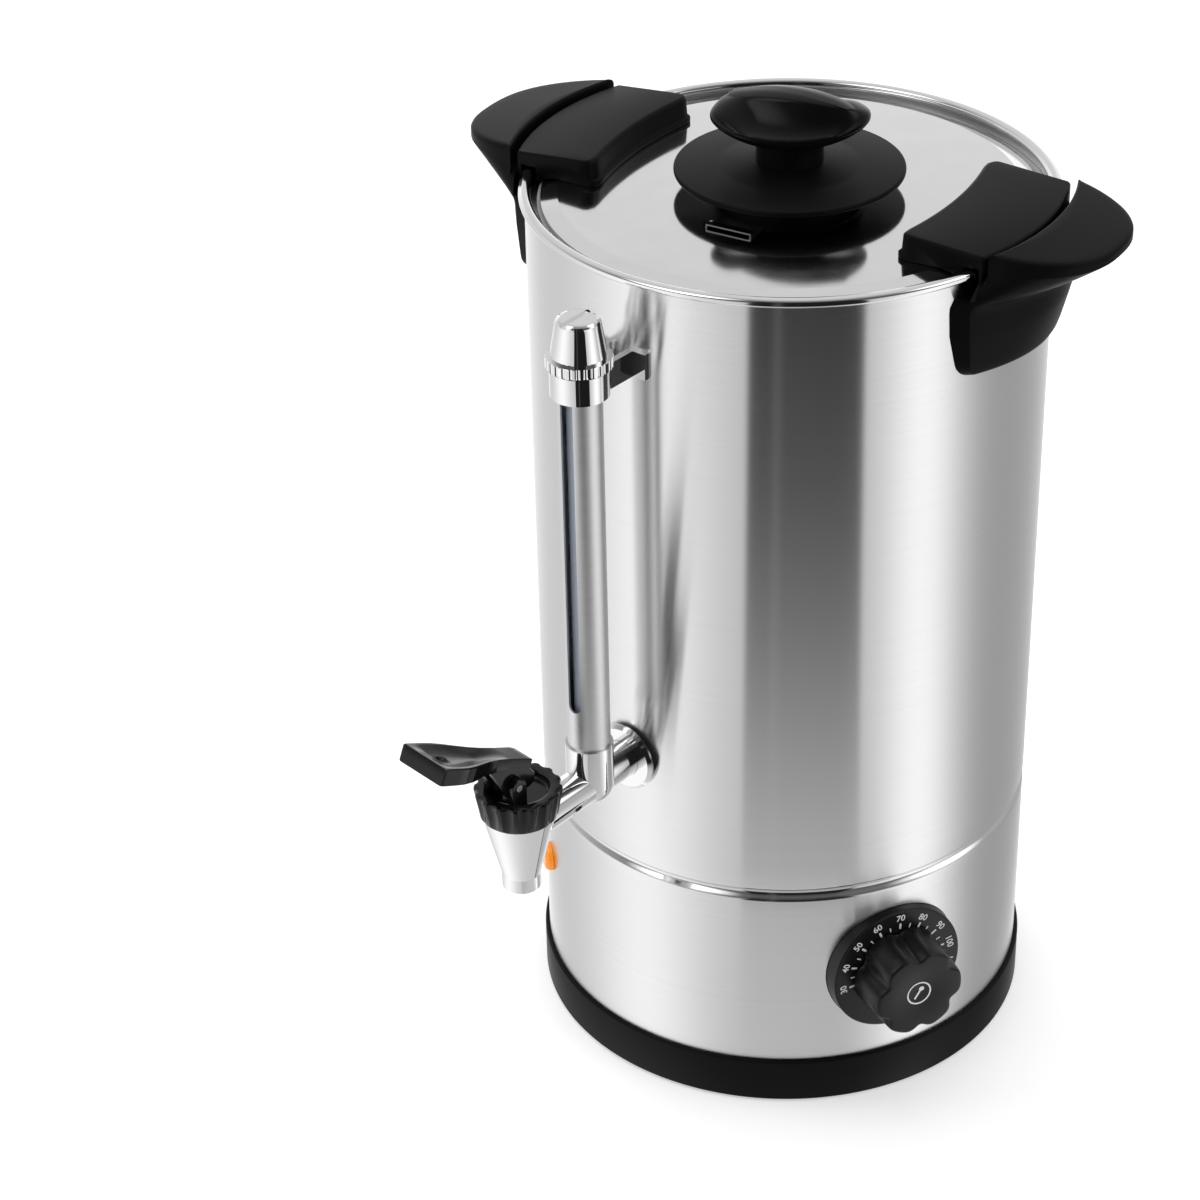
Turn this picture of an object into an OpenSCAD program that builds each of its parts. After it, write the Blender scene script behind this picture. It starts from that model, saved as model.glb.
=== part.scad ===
// Hot water urn: a single-wall tank on a plastic base ring, with a twist-off lid,
// two moulded handles, a lever tap, a sight gauge and a thermostat dial.
// The origin is on the urn's axis, on the surface it stands on. The tap faces -Y.

/* [Tank] */
// Outer diameter of the tank wall
body_d = 224; // [200:1:270]
// Thickness of the tank wall
body_wall = 0.8; // [0.6:0.1:1.2]
// Height of the top of the rolled rim
rim_height = 407.5; // [360:0.5:520]
// Height of the rolled rim bead
rim_bead_height = 3.5; // [3:0.1:5]
// How far the rim bead stands out of the wall
rim_bead_out = 2.5; // [1.5:0.1:3]
// How far the rim bead stands in from the wall
rim_bead_in = 2.7; // [1.5:0.1:3.5]
// Height of the rolled groove that carries the tank floor
groove_height = 116.2; // [110:0.1:130]
// Width of the rolled groove
groove_width = 7.5; // [5:0.1:9]
// Depth of the rolled groove
groove_depth = 2.5; // [1.5:0.1:3]

/* [Base] */
// Height of the base ring
base_height = 23.3; // [22:0.1:34]
// How far the base ring stands out of the wall
base_out = 2; // [1.2:0.1:4]
// Diameter of a foot
foot_d = 12; // [8:0.5:14]
// Number of feet
foot_count = 4; // [3:1:6]

/* [Lid] */
// Gap between the lid's edge and the rim bead
lid_gap = 4.1; // [3:0.1:6]
// Thickness of the lid's sheet
lid_sheet = 0.8; // [0.6:0.1:1.2]
// How far the flat top of the lid lies below the rim
lid_recess = 2.5; // [1:0.1:4]
// Width of the lid's sloping shoulder
lid_shoulder = 7.2; // [5:0.1:10]
// Drop of the lid's sloping shoulder
lid_shoulder_drop = 1.8; // [1:0.1:3]
// Diameter of the knob's heat shield disc
shield_d = 97.8; // [80:0.2:110]
// Diameter of the knob's collar
collar_d = 62; // [50:1:70]
// Length of the knob's grip
grip_length = 67; // [50:1:80]
// Width of the knob's grip
grip_width = 43; // [34:1:50]
// Height of the knob above the lid
knob_height = 43; // [38:0.5:54]
// Turn of the knob's grip from the line across the tap
knob_turn = 37; // [0:1:60]
// Turn of the grip's ridge back from its length
ridge_turn = 24; // [0:1:40]

/* [Handles] */
// Turn of the handles from the line across the tap
handle_turn = 9; // [0:1:20]
// Half width of the handle wing and the lid grip
handle_half = 43; // [34:1:50]
// How far the handle stands out of the wall
handle_reach = 38.5; // [30:0.5:50]
// Height of the handle, from its top to the foot of its skirt
handle_height = 56; // [46:1:70]
// Top of the handle above the rim
handle_rise = 8.5; // [7.5:0.5:12]
// Running gap between a lid grip and a handle
handle_gap = 2.8; // [1.5:0.1:4]

/* [Tap] */
// Height of the tap's shank
tap_height = 175; // [150:1:190]
// Distance of the valve's axis from the wall
tap_reach = 71.5; // [64:0.5:90]
// Diameter of the shank
shank_d = 17; // [14:0.5:20]
// Bore of the shank
shank_bore = 10; // [7:0.5:12]
// Outer diameter of the spout
spout_d = 16.7; // [14:0.1:20]
// Bore of the spout
spout_bore = 10; // [7:0.5:11]
// Diameter of the fluted bonnet
bonnet_d = 38; // [34:0.5:44]
// Number of flutes round the bonnet
flute_count = 16; // [8:1:18]
// Turn of the lever about the valve's axis
lever_turn = -7; // [-40:1:40]
// Rise of the lever at rest
lever_rise = 24; // [15:1:30]
// Length of the lever from its pivot
lever_length = 51; // [45:1:80]
// Width of the lever's end
lever_width = 27; // [18:0.5:30]

/* [Sight gauge] */
// Distance of the gauge's axis from the wall
gauge_reach = 25.5; // [22:0.5:34]
// Outer diameter of the gauge's shield tube
shield_tube_d = 18.5; // [17:0.1:20]
// Outer diameter of the glass tube
glass_d = 12; // [10:0.5:13]
// Wall of the glass tube
glass_wall = 1.5; // [1:0.1:2]
// Width of the slot in the shield tube
gauge_slot = 6.5; // [4:0.5:8]
// Diameter of the gauge cap's knurled ring
cap_d = 27.5; // [25.5:0.5:30]

/* [Controls] */
// Azimuth of the thermostat dial, from the tap towards +X
dial_azimuth = 64; // [50:0.5:75]
// Height of the dial's centre
dial_height = 70.6; // [62:0.1:76]
// Diameter of the dial plate
dial_d = 63.6; // [56:0.1:68]
// Largest diameter of the dial knob
knob_d = 45; // [40:0.5:50]
// Number of lobes round the dial knob
lobe_count = 6; // [5:1:8]
// Azimuth of the pilot lamp
lamp_azimuth = -38; // [-50:1:-30]
// Height of the pilot lamp
lamp_height = 75; // [60:1:85]
// Diameter of the pilot lamp's lens
lens_d = 14; // [12:0.5:18]
// Height of the cord gland, at the back
gland_height = 44; // [40:1:60]
// Bore of the cord gland
gland_bore = 8; // [6:0.5:9]

/* [Hidden] */
$fn = 96;
cut = 1;             // overshoot of a cut past a face
seat = 0.1;          // clearance between seated pieces
turn_gap = 0.3;      // clearance between pieces that move apart
run = 0.05;          // radial clearance of a running fit

body_r = body_d / 2;
inner_r = body_r - body_wall;
bead_out_r = body_r + rim_bead_out;
bead_in_r = body_r - rim_bead_in;
bead_bottom = rim_height - rim_bead_height;
bead_round = 1.2;
bead_steps = 4;
groove_steps = 12;
groove_top = groove_height + groove_width / 2;

// base
base_r = body_r + base_out;
foot_height = 5;
foot_grip = 4;
ledge_bottom = foot_height;
ledge_top = ledge_bottom + 3;
ring_bottom = 1;
channel_bottom = ledge_top + 1;
shell_bottom = channel_bottom + turn_gap;
channel_in_r = inner_r - turn_gap;
channel_out_r = body_r + turn_gap;
lip_r = channel_in_r - 2.4;
lip_top = ledge_top + 7;
ledge_in_r = body_r - 14;
foot_ring_r = ledge_in_r + foot_d / 2 + 0.5;
plate_r = lip_r - turn_gap;
plate_thick = 1.2;
plate_top = ledge_top + plate_thick;
foot_screw_r = 2;
foot_screw_head_r = 3.6;
foot_screw_head = 2;
foot_recess = foot_grip - foot_screw_head + 0.4;
foot_screw_end = plate_top + 3;
vent_r = 2.2;
vent_columns = [36, 50];
vent_y = 38;
vent_pitch = 8;
vent_rows = 2;

// tank floor, heater and the stud that clamps the base
floor_thick = 1.2;
floor_bottom = groove_top + 0.2;
floor_top = floor_bottom + floor_thick;
floor_r = inner_r - seat;
floor_flange = 10;
heat_plate_r = 80;
heat_plate_thick = 3;
heat_plate_bottom = floor_bottom - heat_plate_thick;
element_r = 60;
element_tube_r = 4;
element_z = heat_plate_bottom - element_tube_r;
element_gap = 30;
element_leg = 16;
terminal_r = 1.6;
terminal_length = 9;
stud_r = 3;
stud_end = 1.6;
nut_r = 5.8;
nut_height = 4.6;
washer_r = 9;
washer_thick = 1.2;
plate_clear = 2;

// lid
lid_top = rim_height - lid_recess;
lid_r = bead_in_r - lid_gap;
lid_flat_r = lid_r - lid_shoulder;
lid_shoulder_z = lid_top - lid_shoulder_drop;
lid_edge_z = lid_top - 3.5;
lid_under = lid_top - lid_sheet;
gasket_top = lid_edge_z - turn_gap;
gasket_thick = 1.5;
gasket_bottom = gasket_top - gasket_thick;
gasket_in_r = lid_r - 3;
gasket_out_r = lid_r + 1.5;
seat_top = gasket_bottom - turn_gap;
seat_thick = 1.2;
seat_in_r = gasket_in_r - 0.7;
seat_out_r = inner_r - seat;
seat_skirt = 7;
louvre_azimuth = handle_turn;
louvre_width = 21;
louvre_back = 41.6;
louvre_front = 53;
louvre_rise = 1.7;
louvre_sheet = 0.6;

// lid knob
collar_r = collar_d / 2;
collar_height = 7.5;
shield_r = shield_d / 2;
shield_z = lid_top + collar_height;
shield_edge = 2.6;
shield_rise = 5.5;
neck_r = 15.8;
neck_bottom = shield_z + shield_rise;
grip_bottom = lid_top + knob_height * 0.56;
grip_top = lid_top + knob_height;
knob_screw_r = 2.5;
knob_screw_head_r = 5;
knob_screw_head = 3;
knob_screw_end = grip_bottom + 4;

// lid grips and handles
grip_clear = 0.6;
tongue_in_r = bead_out_r + grip_clear;
tongue_out_r = bead_out_r + 2.7;
tongue_bottom = bead_bottom - 6;
lid_grip_depth = 43;
lid_grip_bow = 5.5;
lid_grip_top = rim_height + handle_rise + 0.5;
lid_grip_fall = 2.5;
handle_in_r = tongue_out_r + handle_gap;
handle_top = rim_height + handle_rise;
handle_fall = 5;
handle_out_r = body_r + handle_reach;
handle_bottom = handle_top - handle_height;
relief_r = tongue_out_r + 0.8;
relief_bottom = tongue_bottom - 1;
wing_under = handle_top - 8.5;
skirt_mid = handle_bottom + handle_height / 2;
skirt_top = relief_bottom + 3;
slab = 1;
handle_chord = chord(body_r, handle_half);
skirt_reach = [12, 18, 20];
skirt_widen = [1, 4, 5];
wing_power = 1.6;
bolt_spread = 13;
bolt_r = 2.5;
bolt_height = handle_bottom + 20;
bolt_depth = 7;
bolt_head_r = 4.5;
bolt_head = 2.6;
rivet_spread = 14;
rivet_r = 2;
rivet_ring_r = lid_flat_r - 10;
rivet_head_r = 4;
rivet_head = 1.5;
rivet_depth = 5;

// tap, drawn with +X outward
shank_r = shank_d / 2;
valve_x = body_r + tap_reach;
gauge_x = body_r + gauge_reach;
flange_r = 15.5;
flange_thick = 2.4;
seal_thick = 1.8;
flange_x = body_r + seal_thick - 0.4;
inner_seal_x = inner_r - 4;
tap_nut_x = inner_seal_x - seat;
tap_nut_thick = 6;
tap_nut_r = 15.6;
shank_in_x = tap_nut_x - tap_nut_thick - 3;
tee_r = 10.4;
tee_top = tap_height + 20.5;
chamber_r = 12.75;
chamber_bore_r = 9;
chamber_top = tap_height + 17;
valve_seat = tap_height - 12;
spout_bottom = tap_height - 28;
spout_neck = spout_bottom + 6.5;
spout_r = spout_d / 2;
cup_r = 8;
cup_thick = 5;
stem_r = 2;
stem_lift = 3.5;
press_angle = 30;
bonnet_r = bonnet_d / 2;
bonnet_foot_r = bonnet_r - 2.4;
bonnet_bottom = tap_height + shank_r + turn_gap;
bonnet_top = bonnet_bottom + 13.6;
flute_r = 3.2;
flute_out = 1.9;
flare_r = bonnet_foot_r - 0.9;
flare_top = bonnet_bottom - turn_gap;
bonnet_floor = chamber_top + 0.3;
bonnet_dish = 13;
pivot_z = bonnet_top + 6.4;
pivot_x = valve_x + stem_lift / sin(press_angle);
pin_r = 1.5;
stem_pin_r = 1.25;
hub_r = 6;
hub_half = 6;
ear_in = hub_half + turn_gap;
ear_out = ear_in + 3;
lever_top = 12.2;
lever_thick = 7.8;
spring_bottom = valve_seat + cup_thick + 0.2;
spring_top = bonnet_floor - 0.2;
spring_r = 5.4;
spring_wire = 0.6;
spring_turns = 6;

// sight gauge
tube_r = shield_tube_d / 2;
tube_wall = 1;
tube_bottom = tee_top - 8;
bracket_top = rim_height - 32.2;
bracket_height = 11.5;
bracket_bottom = bracket_top - bracket_height;
tube_top = bracket_top - 1.5;
slot_bottom = tee_top + 19;
slot_top = bracket_bottom + 1;
glass_r = glass_d / 2;
glass_bottom = tee_top - 14;
glass_top = bracket_top - 2;
gauge_seal_height = 5;
bracket_r = tube_r + 3;
arm_in = 4.6;
arm_out = 7.6;
foot_half = 14;
bracket_sheet = 1.5;
cap_r = cap_d / 2;
cap_ring_bottom = bracket_top + 1.2;
cap_ring_top = cap_ring_bottom + 4.4;
cap_top = cap_ring_top + 17;
cap_base_r = 11.7;
cap_tip_r = 9.5;
cap_slot = 2.6;
knurl_count = 28;

// dial and thermostat, drawn along +Z on a radial axis
dial_r = dial_d / 2;
dial_face = body_r + 3.6;
dial_rim = 1.2;
knob_r = knob_d / 2;
knob_notch = 3.2;
knob_back = dial_face + 1.4;
knob_face = knob_back + 20;
spindle_r = 3;
thermo_r = 17;
thermo_front = 109.7 - 112 + body_r;
thermo_back = thermo_front - 24;
bush_r = 4.8;
bush_end = body_r + 1.4;
thermo_wall = 6;
knob_top = 6;
knob_skin = 4.5;
knob_boss_r = 5.5;
knob_dish_r = 15;
knob_dish = 1.4;
dial_screw_ring = 12;
dial_screw_r = 2;
dial_screw_head_r = 3.4;

// pilot lamp and cord gland
lens_r = lens_d / 2;
lamp_r = 5;
gland_r = gland_bore / 2 + 3.6;
gland_flange_r = 11;
gland_out = body_r + 11;
gland_in = body_r - 15;
gland_nut_x = inner_r - 1.2;

// cut-out, terminals and sensor under the tank
cutout_x = -34;
cutout_y = 26;
cutout_r = 8;
cutout_height = 14;
button_r = 3;
block_x = -14;
block_y = -46;
block_length = 46;
block_width = 17;
block_height = 14;
terminal_pitch = 14;
block_screw_r = 2;
wire_r = 1.8;
earth_x = 30;
earth_y = -62;
bulb_r = 3;
bulb_half = 34;
bulb_y = 26;
capillary_r = 1;
bend_r = 1.3 * capillary_r;
capillary_x = 58;
capillary_y = -12;

// ---- helpers ----

// Turns children drawn with +X outward to an azimuth. Azimuth 0 is -Y.
module facing(azimuth) rotate([0, 0, azimuth - 90]) children();

// Lays children drawn along +Z on the radial axis at an azimuth and a height.
module radial(azimuth, height)
    facing(azimuth) translate([0, 0, height]) rotate([0, 90, 0]) children();

// A straight round rod from one height to another.
module rod(r, bottom, top) translate([0, 0, bottom]) cylinder(r = r, h = top - bottom);

// A finely divided cylinder on the urn's axis, for faces that follow the wall.
module wall_round(r, bottom, top) rod(r, bottom, top, $fn = 360);

// A ring with a rectangular section.
module ring(outer, inner, bottom, top) {
    difference() {
        rod(outer, bottom, top);
        rod(inner, bottom - cut, top + cut);
    }
}

// A round rod between two points.
module link(from, to, r) {
    along = to - from;
    length = norm(along);
    translate(from) rotate([0, acos(along.z / length), atan2(along.y, along.x)])
        cylinder(r = r, h = length);
}

// Points along an arc in the plane, centre (x, y).
function arc(x, y, r, from, to, steps) =
    [for (i = [0:steps]) let(a = from + (to - from) * i / steps) [x + r * cos(a), y + r * sin(a)]];

// Half chord of a circle at a distance from its centre.
function chord(r, offset) = sqrt(r * r - offset * offset);

// Both handle sides, right then left.
handle_azimuths = [90 + handle_turn, handle_turn - 90];

// ---- tank ----

// Inset of the wall at a height: a smooth rolled groove.
function groove_inset(z) = groove_depth * (1 + cos(360 * (z - groove_height) / groove_width)) / 2;

// The wall's face at a radius, from the shell's foot up to the bead.
function wall_face(r) = concat(
    [[r, shell_bottom]],
    [for (i = [0:groove_steps])
        let(z = groove_height + groove_width * (i / groove_steps - 0.5)) [r - groove_inset(z), z]],
    [[r, bead_bottom + bead_round]]
);

module rim_bead_section() polygon(concat(
    arc(bead_out_r - bead_round, bead_bottom + bead_round, bead_round, -90, 0, bead_steps),
    arc(bead_out_r - bead_round, rim_height - bead_round, bead_round, 0, 90, bead_steps),
    arc(bead_in_r + bead_round, rim_height - bead_round, bead_round, 90, 180, bead_steps),
    arc(bead_in_r + bead_round, bead_bottom + bead_round, bead_round, 180, 270, bead_steps)
));

// A round hole through the wall at an azimuth and a height.
module wall_hole(azimuth, height, r)
    radial(azimuth, height) rod(r, body_r - 12, body_r + 6);

module body_shell() color("silver") difference() {
    rotate_extrude() union() {
        polygon(concat(wall_face(body_r), [for (i = [groove_steps + 2:-1:0]) wall_face(inner_r)[i]]));
        rim_bead_section();
    }
    wall_hole(0, tap_height, shank_r + seat);
    wall_hole(dial_azimuth, dial_height, bush_r + seat);
    for (side = [-1, 1])
        radial(dial_azimuth, dial_height) translate([0, side * dial_screw_ring, 0])
            rod(dial_screw_r + seat, body_r - 12, body_r + 6);
    wall_hole(lamp_azimuth, lamp_height, lamp_r + seat);
    wall_hole(180, gland_height, gland_r + seat);
    for (azimuth = handle_azimuths, side = [-1, 1])
        wall_hole(azimuth + side * bolt_spread, bolt_height, bolt_r + seat);
}

// Ring welded inside the rim, which carries the lid's gasket.
module lid_seat_ring() color("silver") rotate_extrude() polygon([
    [seat_in_r, seat_top - seat_thick],
    [seat_out_r - seat_thick, seat_top - seat_thick],
    [seat_out_r - seat_thick, seat_top - seat_skirt],
    [seat_out_r, seat_top - seat_skirt],
    [seat_out_r, seat_top],
    [seat_in_r, seat_top]
]);

// Disc with an upturned flange, standing on the groove's inner ridge.
module tank_floor() color("silver") difference() {
    rod(floor_r, floor_bottom, floor_top + floor_flange);
    rod(floor_r - floor_thick, floor_top, floor_top + floor_flange + cut);
}

// ---- heater ----

module heat_plate() color("gainsboro")
    ring(heat_plate_r, stud_r + plate_clear, heat_plate_bottom, floor_bottom);

// Sheathed ring under the plate, with two legs that end in terminal pins.
module heating_element() color("dimgray") {
    turn = 90 + element_gap / 2;
    rotate([0, 0, turn]) translate([0, 0, element_z])
        rotate_extrude(angle = 360 - element_gap) translate([element_r, 0])
            circle(r = element_tube_r, $fn = 32);
    for (a = [turn, turn - element_gap])
        rotate([0, 0, a]) translate([element_r, 0, 0]) {
            rod(element_tube_r, element_z - element_leg, element_z);
            rod(terminal_r, element_z - element_leg - terminal_length, element_z - element_leg);
            translate([0, 0, element_z]) sphere(r = element_tube_r, $fn = 32);
        }
}

module tie_stud() color("silver") rod(stud_r, stud_end, floor_bottom);

module tie_nut() color("silver") difference() {
    union() {
        translate([0, 0, ledge_top - washer_thick - nut_height]) cylinder(r = nut_r, h = nut_height, $fn = 6);
        rod(washer_r, ledge_top - washer_thick, ledge_top);
    }
    rod(stud_r + run, 0, plate_top);
}

// ---- base ----

// Places children on every foot's axis.
module at_feet() for (i = [0:foot_count - 1])
    rotate([0, 0, 360 * (i + 0.5) / foot_count]) translate([foot_ring_r, 0, 0]) children();

module base_ring() color("#161616") difference() {
    rotate_extrude() polygon([
        [channel_in_r, ring_bottom],
        [base_r - 1, ring_bottom],
        [base_r, ring_bottom + 1.2],
        [base_r, base_height - 0.9],
        [base_r - 0.7, base_height],
        [channel_out_r, base_height],
        [channel_out_r, channel_bottom],
        [channel_in_r, channel_bottom],
        [channel_in_r, lip_top],
        [lip_r, lip_top],
        [lip_r, ledge_top],
        [ledge_in_r, ledge_top],
        [ledge_in_r, ledge_bottom],
        [channel_in_r, ledge_bottom]
    ]);
    at_feet() rod(foot_screw_r + seat, 0, ledge_top + cut);
}

// Vented steel disc that closes the base.
module base_plate() color("silver") difference() {
    rod(plate_r, ledge_top, plate_top);
    rod(stud_r + seat, 0, plate_top + cut);
    at_feet() rod(foot_screw_r + run, 0, plate_top + cut);
    translate([cutout_x, cutout_y, 0]) rod(button_r + turn_gap, 0, plate_top + cut);
    translate([earth_x, earth_y, 0]) rod(foot_screw_r + run, 0, plate_top + cut);
    for (x = vent_columns, i = [-vent_rows:vent_rows])
        translate([x, vent_y + vent_pitch * i, 0]) rod(vent_r, 0, plate_top + cut);
}

module feet() color("#202020") at_feet() difference() {
    rod(foot_d / 2, 0, foot_height);
    rod(foot_screw_head_r + seat, -cut, foot_recess);
    rod(foot_screw_r + seat, -cut, foot_height + cut);
}

module foot_screws() color("silver") at_feet() {
    rod(foot_screw_head_r, foot_recess - foot_screw_head, foot_recess);
    rod(foot_screw_r, foot_grip - foot_screw_head, foot_screw_end);
}

// ---- thermostat and dial ----

module thermostat_body() color("ivory") radial(dial_azimuth, dial_height) difference() {
    union() {
        rod(thermo_r, thermo_back, thermo_front);
        rod(bush_r, thermo_front - cut, bush_end);
    }
    rod(spindle_r + run, thermo_back + thermo_wall, bush_end + cut);
    for (side = [-1, 1])
        translate([0, side * dial_screw_ring, 0])
            rod(dial_screw_r + run, thermo_front - 6, thermo_front + cut);
}

module thermostat_spindle() color("silver") radial(dial_azimuth, dial_height)
    rod(spindle_r, thermo_back + thermo_wall + turn_gap, knob_face - knob_top - turn_gap);

module thermostat_screws() color("silver") radial(dial_azimuth, dial_height)
    for (side = [-1, 1]) translate([0, side * dial_screw_ring, 0]) {
        rod(dial_screw_r, thermo_front - 5.5, dial_face);
        rod(dial_screw_head_r, dial_face, dial_face + 1.8);
    }

// Sensing bulb under the heat plate, with its capillary to the thermostat.
module sensor_bulb() color("peru") {
    bulb_z = heat_plate_bottom - bulb_r;
    end = [bulb_half, bulb_y, bulb_z];
    bend = [bulb_half + 5, bulb_y - 4, bulb_z - 10];
    drop = [capillary_x, capillary_y, bulb_z - 19];
    goal = [
        (thermo_back - 0.2) * sin(dial_azimuth),
        -(thermo_back - 0.2) * cos(dial_azimuth),
        dial_height + 8
    ];
    link([-bulb_half, bulb_y, bulb_z], end, bulb_r);
    link(end, bend, capillary_r);
    link(bend, drop, capillary_r);
    link(drop, goal, capillary_r);
    for (p = [end, bend, drop]) translate(p) sphere(r = bend_r, $fn = 24);
}

// Round plate with a rounded rim; its back follows the wall.
module dial_plate() color("#1a1a1a") difference() {
    radial(dial_azimuth, dial_height) difference() {
        rotate_extrude() polygon(concat(
            [[0, body_r - 8], [dial_r, body_r - 8]],
            arc(dial_r - dial_rim, dial_face - dial_rim, dial_rim, 0, 90, 5),
            [[0, dial_face]]
        ));
        rod(bush_r + seat, body_r - 10, dial_face + cut);
        for (side = [-1, 1])
            translate([0, side * dial_screw_ring, 0]) rod(dial_screw_r + seat, body_r - 10, dial_face + cut);
    }
    wall_round(body_r + seat, dial_height - dial_r - cut, dial_height + dial_r + cut);
}

// Lobed outline of the dial knob.
function lobe_radius(a) = knob_r - knob_notch * pow((1 - cos(lobe_count * (a - 27))) / 2, 3);

module dial_knob() color("#1a1a1a") radial(dial_azimuth, dial_height) difference() {
    translate([0, 0, knob_back]) linear_extrude(knob_face - knob_back)
        polygon([for (a = [0:5:355]) lobe_radius(a) * [cos(a), sin(a)]]);
    rotate_extrude() polygon([
        [0, knob_face + cut],
        [knob_dish_r, knob_face + cut],
        [knob_dish_r, knob_face],
        [knob_dish_r - 2, knob_face - 0.7 * knob_dish],
        [0, knob_face - knob_dish]
    ]);
    ring(knob_r - knob_skin, knob_boss_r, knob_back - cut, knob_face - knob_top + 1);
    rod(spindle_r + seat / 2, knob_back - cut, knob_face - knob_top);
}

// ---- pilot lamp ----

module lamp_lens() color("darkorange") difference() {
    radial(lamp_azimuth, lamp_height) rotate_extrude() polygon(concat(
        [[0, body_r - 1], [lens_r, body_r - 1]],
        arc(lens_r - 2.4, body_r + 1, 2.4, 0, 90, 5),
        [[0, body_r + 3.6]]
    ));
    wall_round(body_r + seat, lamp_height - lens_d, lamp_height + lens_d);
}

module lamp_body() color("#202020") radial(lamp_azimuth, lamp_height) {
    rod(lamp_r, body_r - 18, body_r - 0.2);
    rod(lamp_r + 2.5, body_r - 4.4, inner_r - 0.4);
    for (side = [-1, 1]) translate([0, side * 2.4, body_r - 24]) cube([3, 0.8, 12.2], center = true);
}

// ---- cord gland, cut-out and terminals ----

module cord_gland() color("#1c1c1c") difference() {
    radial(180, gland_height) difference() {
        union() {
            rod(gland_r, gland_in, gland_out);
            rod(gland_flange_r, body_r - 1, body_r + 4);
            translate([0, 0, body_r + 4]) cylinder(r = gland_flange_r - 0.5, h = 4.5, $fn = 6);
        }
        rod(gland_bore / 2, gland_in - cut, gland_out + cut);
    }
    difference() {
        wall_round(body_r + seat, gland_height - gland_flange_r - cut, gland_height + gland_flange_r + cut);
        radial(180, gland_height) rod(gland_r, gland_in - cut, gland_out);
    }
}

module gland_nut() color("#1c1c1c") radial(180, gland_height) difference() {
    translate([0, 0, gland_nut_x - 6]) cylinder(r = gland_r + 3.6, h = 6, $fn = 6);
    rod(gland_r + run, gland_nut_x - 7, gland_nut_x + cut);
}

module boil_dry_cutout() color("ivory") translate([cutout_x, cutout_y, 0]) difference() {
    union() {
        rod(cutout_r, plate_top, plate_top + cutout_height);
        for (side = [-1, 1])
            translate([side * 4, 0, plate_top + cutout_height + 3]) cube([0.8, 6, 6.2], center = true);
    }
    rod(button_r + seat, plate_top - cut, plate_top + cutout_height - 4);
}

module reset_button() color("firebrick") translate([cutout_x, cutout_y, 0])
    rod(button_r, ledge_top - 3, plate_top + cutout_height - 7);

module terminal_block() color("ivory") difference() {
    translate([block_x - block_length / 2, block_y - block_width / 2, plate_top])
        cube([block_length, block_width, block_height]);
    for (i = [-1:1]) translate([block_x + terminal_pitch * i, block_y, 0]) {
        rod(block_screw_r + seat, plate_top + 5, plate_top + block_height + cut);
        translate([0, 0, plate_top + 7]) rotate([90, 0, 0])
            cylinder(r = wire_r, h = block_width + 2 * cut, center = true);
    }
}

module terminal_screws() color("goldenrod") for (i = [-1:1])
    translate([block_x + terminal_pitch * i, block_y, 0]) rod(block_screw_r, plate_top + 9.2, plate_top + 13);

module earth_screw() color("goldenrod") translate([earth_x, earth_y, 0]) {
    rod(foot_screw_r, ledge_top - 2, plate_top + 9);
    rod(4, ledge_top - 2, ledge_top);
    translate([0, 0, plate_top]) cylinder(r = 4.2, h = 3.2, $fn = 6);
}

// ---- tap, fixed pieces ----

module tap_flange() color("silver") facing(0) translate([0, 0, tap_height]) rotate([0, 90, 0]) difference() {
    rotate_extrude() polygon([
        [shank_r + seat, flange_x],
        [flange_r, flange_x],
        [flange_r, flange_x + 1],
        [flange_r - 1.4, flange_x + flange_thick],
        [shank_r + seat, flange_x + flange_thick]
    ]);
}

module tap_outer_seal() color("dimgray") difference() {
    radial(0, tap_height) ring(flange_r - 1.5, shank_r + seat, body_r - 3, flange_x);
    wall_round(body_r + seat, tap_height - flange_r - cut, tap_height + flange_r + cut);
}

module tap_inner_seal() color("dimgray") intersection() {
    radial(0, tap_height) ring(flange_r - 2, shank_r + seat, inner_seal_x, inner_r + cut);
    wall_round(inner_r - seat, tap_height - flange_r - cut, tap_height + flange_r + cut);
}

module tap_lock_nut() color("silver") radial(0, tap_height) difference() {
    translate([0, 0, tap_nut_x - tap_nut_thick]) cylinder(r = tap_nut_r, h = tap_nut_thick, $fn = 6);
    rod(shank_r + run, tap_nut_x - tap_nut_thick - cut, tap_nut_x + cut);
}

// Shank, gauge tee and valve chamber in one casting.
module tap_body() color("silver") facing(0) difference() {
    union() {
        translate([0, 0, tap_height]) rotate([0, 90, 0]) rod(shank_r, shank_in_x, valve_x);
        translate([gauge_x, 0, 0]) {
            translate([0, 0, tap_height]) sphere(r = tee_r);
            rod(tee_r, tap_height, tee_top);
        }
        translate([valve_x, 0, 0]) rotate_extrude() polygon([
            [0, spout_bottom],
            [spout_r, spout_bottom],
            [spout_r, spout_neck],
            [flare_r, flare_top],
            [chamber_r, flare_top],
            [chamber_r, chamber_top],
            [0, chamber_top]
        ]);
    }
    translate([0, 0, tap_height]) rotate([0, 90, 0]) rod(shank_bore / 2, shank_in_x - cut, valve_x);
    translate([gauge_x, 0, 0]) {
        rod(glass_r - glass_wall, tap_height, tee_top);
        rod(tube_r + seat, tube_bottom, tee_top + cut);
        rod(glass_r + 1.6, glass_bottom - 1, tee_top);
    }
    translate([valve_x, 0, 0]) {
        rod(chamber_bore_r, valve_seat, chamber_top + cut);
        rod(spout_bore / 2, spout_bottom - cut, valve_seat + cut);
    }
}

// ---- tap, moving pieces ----

// Places children drawn at the valve, turned with the lever.
module at_valve() facing(0) translate([valve_x, 0, 0]) rotate([0, 0, lever_turn]) children();

pivot = pivot_x - valve_x;

module valve_cup() color("gray") at_valve() difference() {
    rod(cup_r, valve_seat, valve_seat + cup_thick);
    rod(stem_r + run, valve_seat + 1.5, valve_seat + cup_thick + cut);
}

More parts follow.
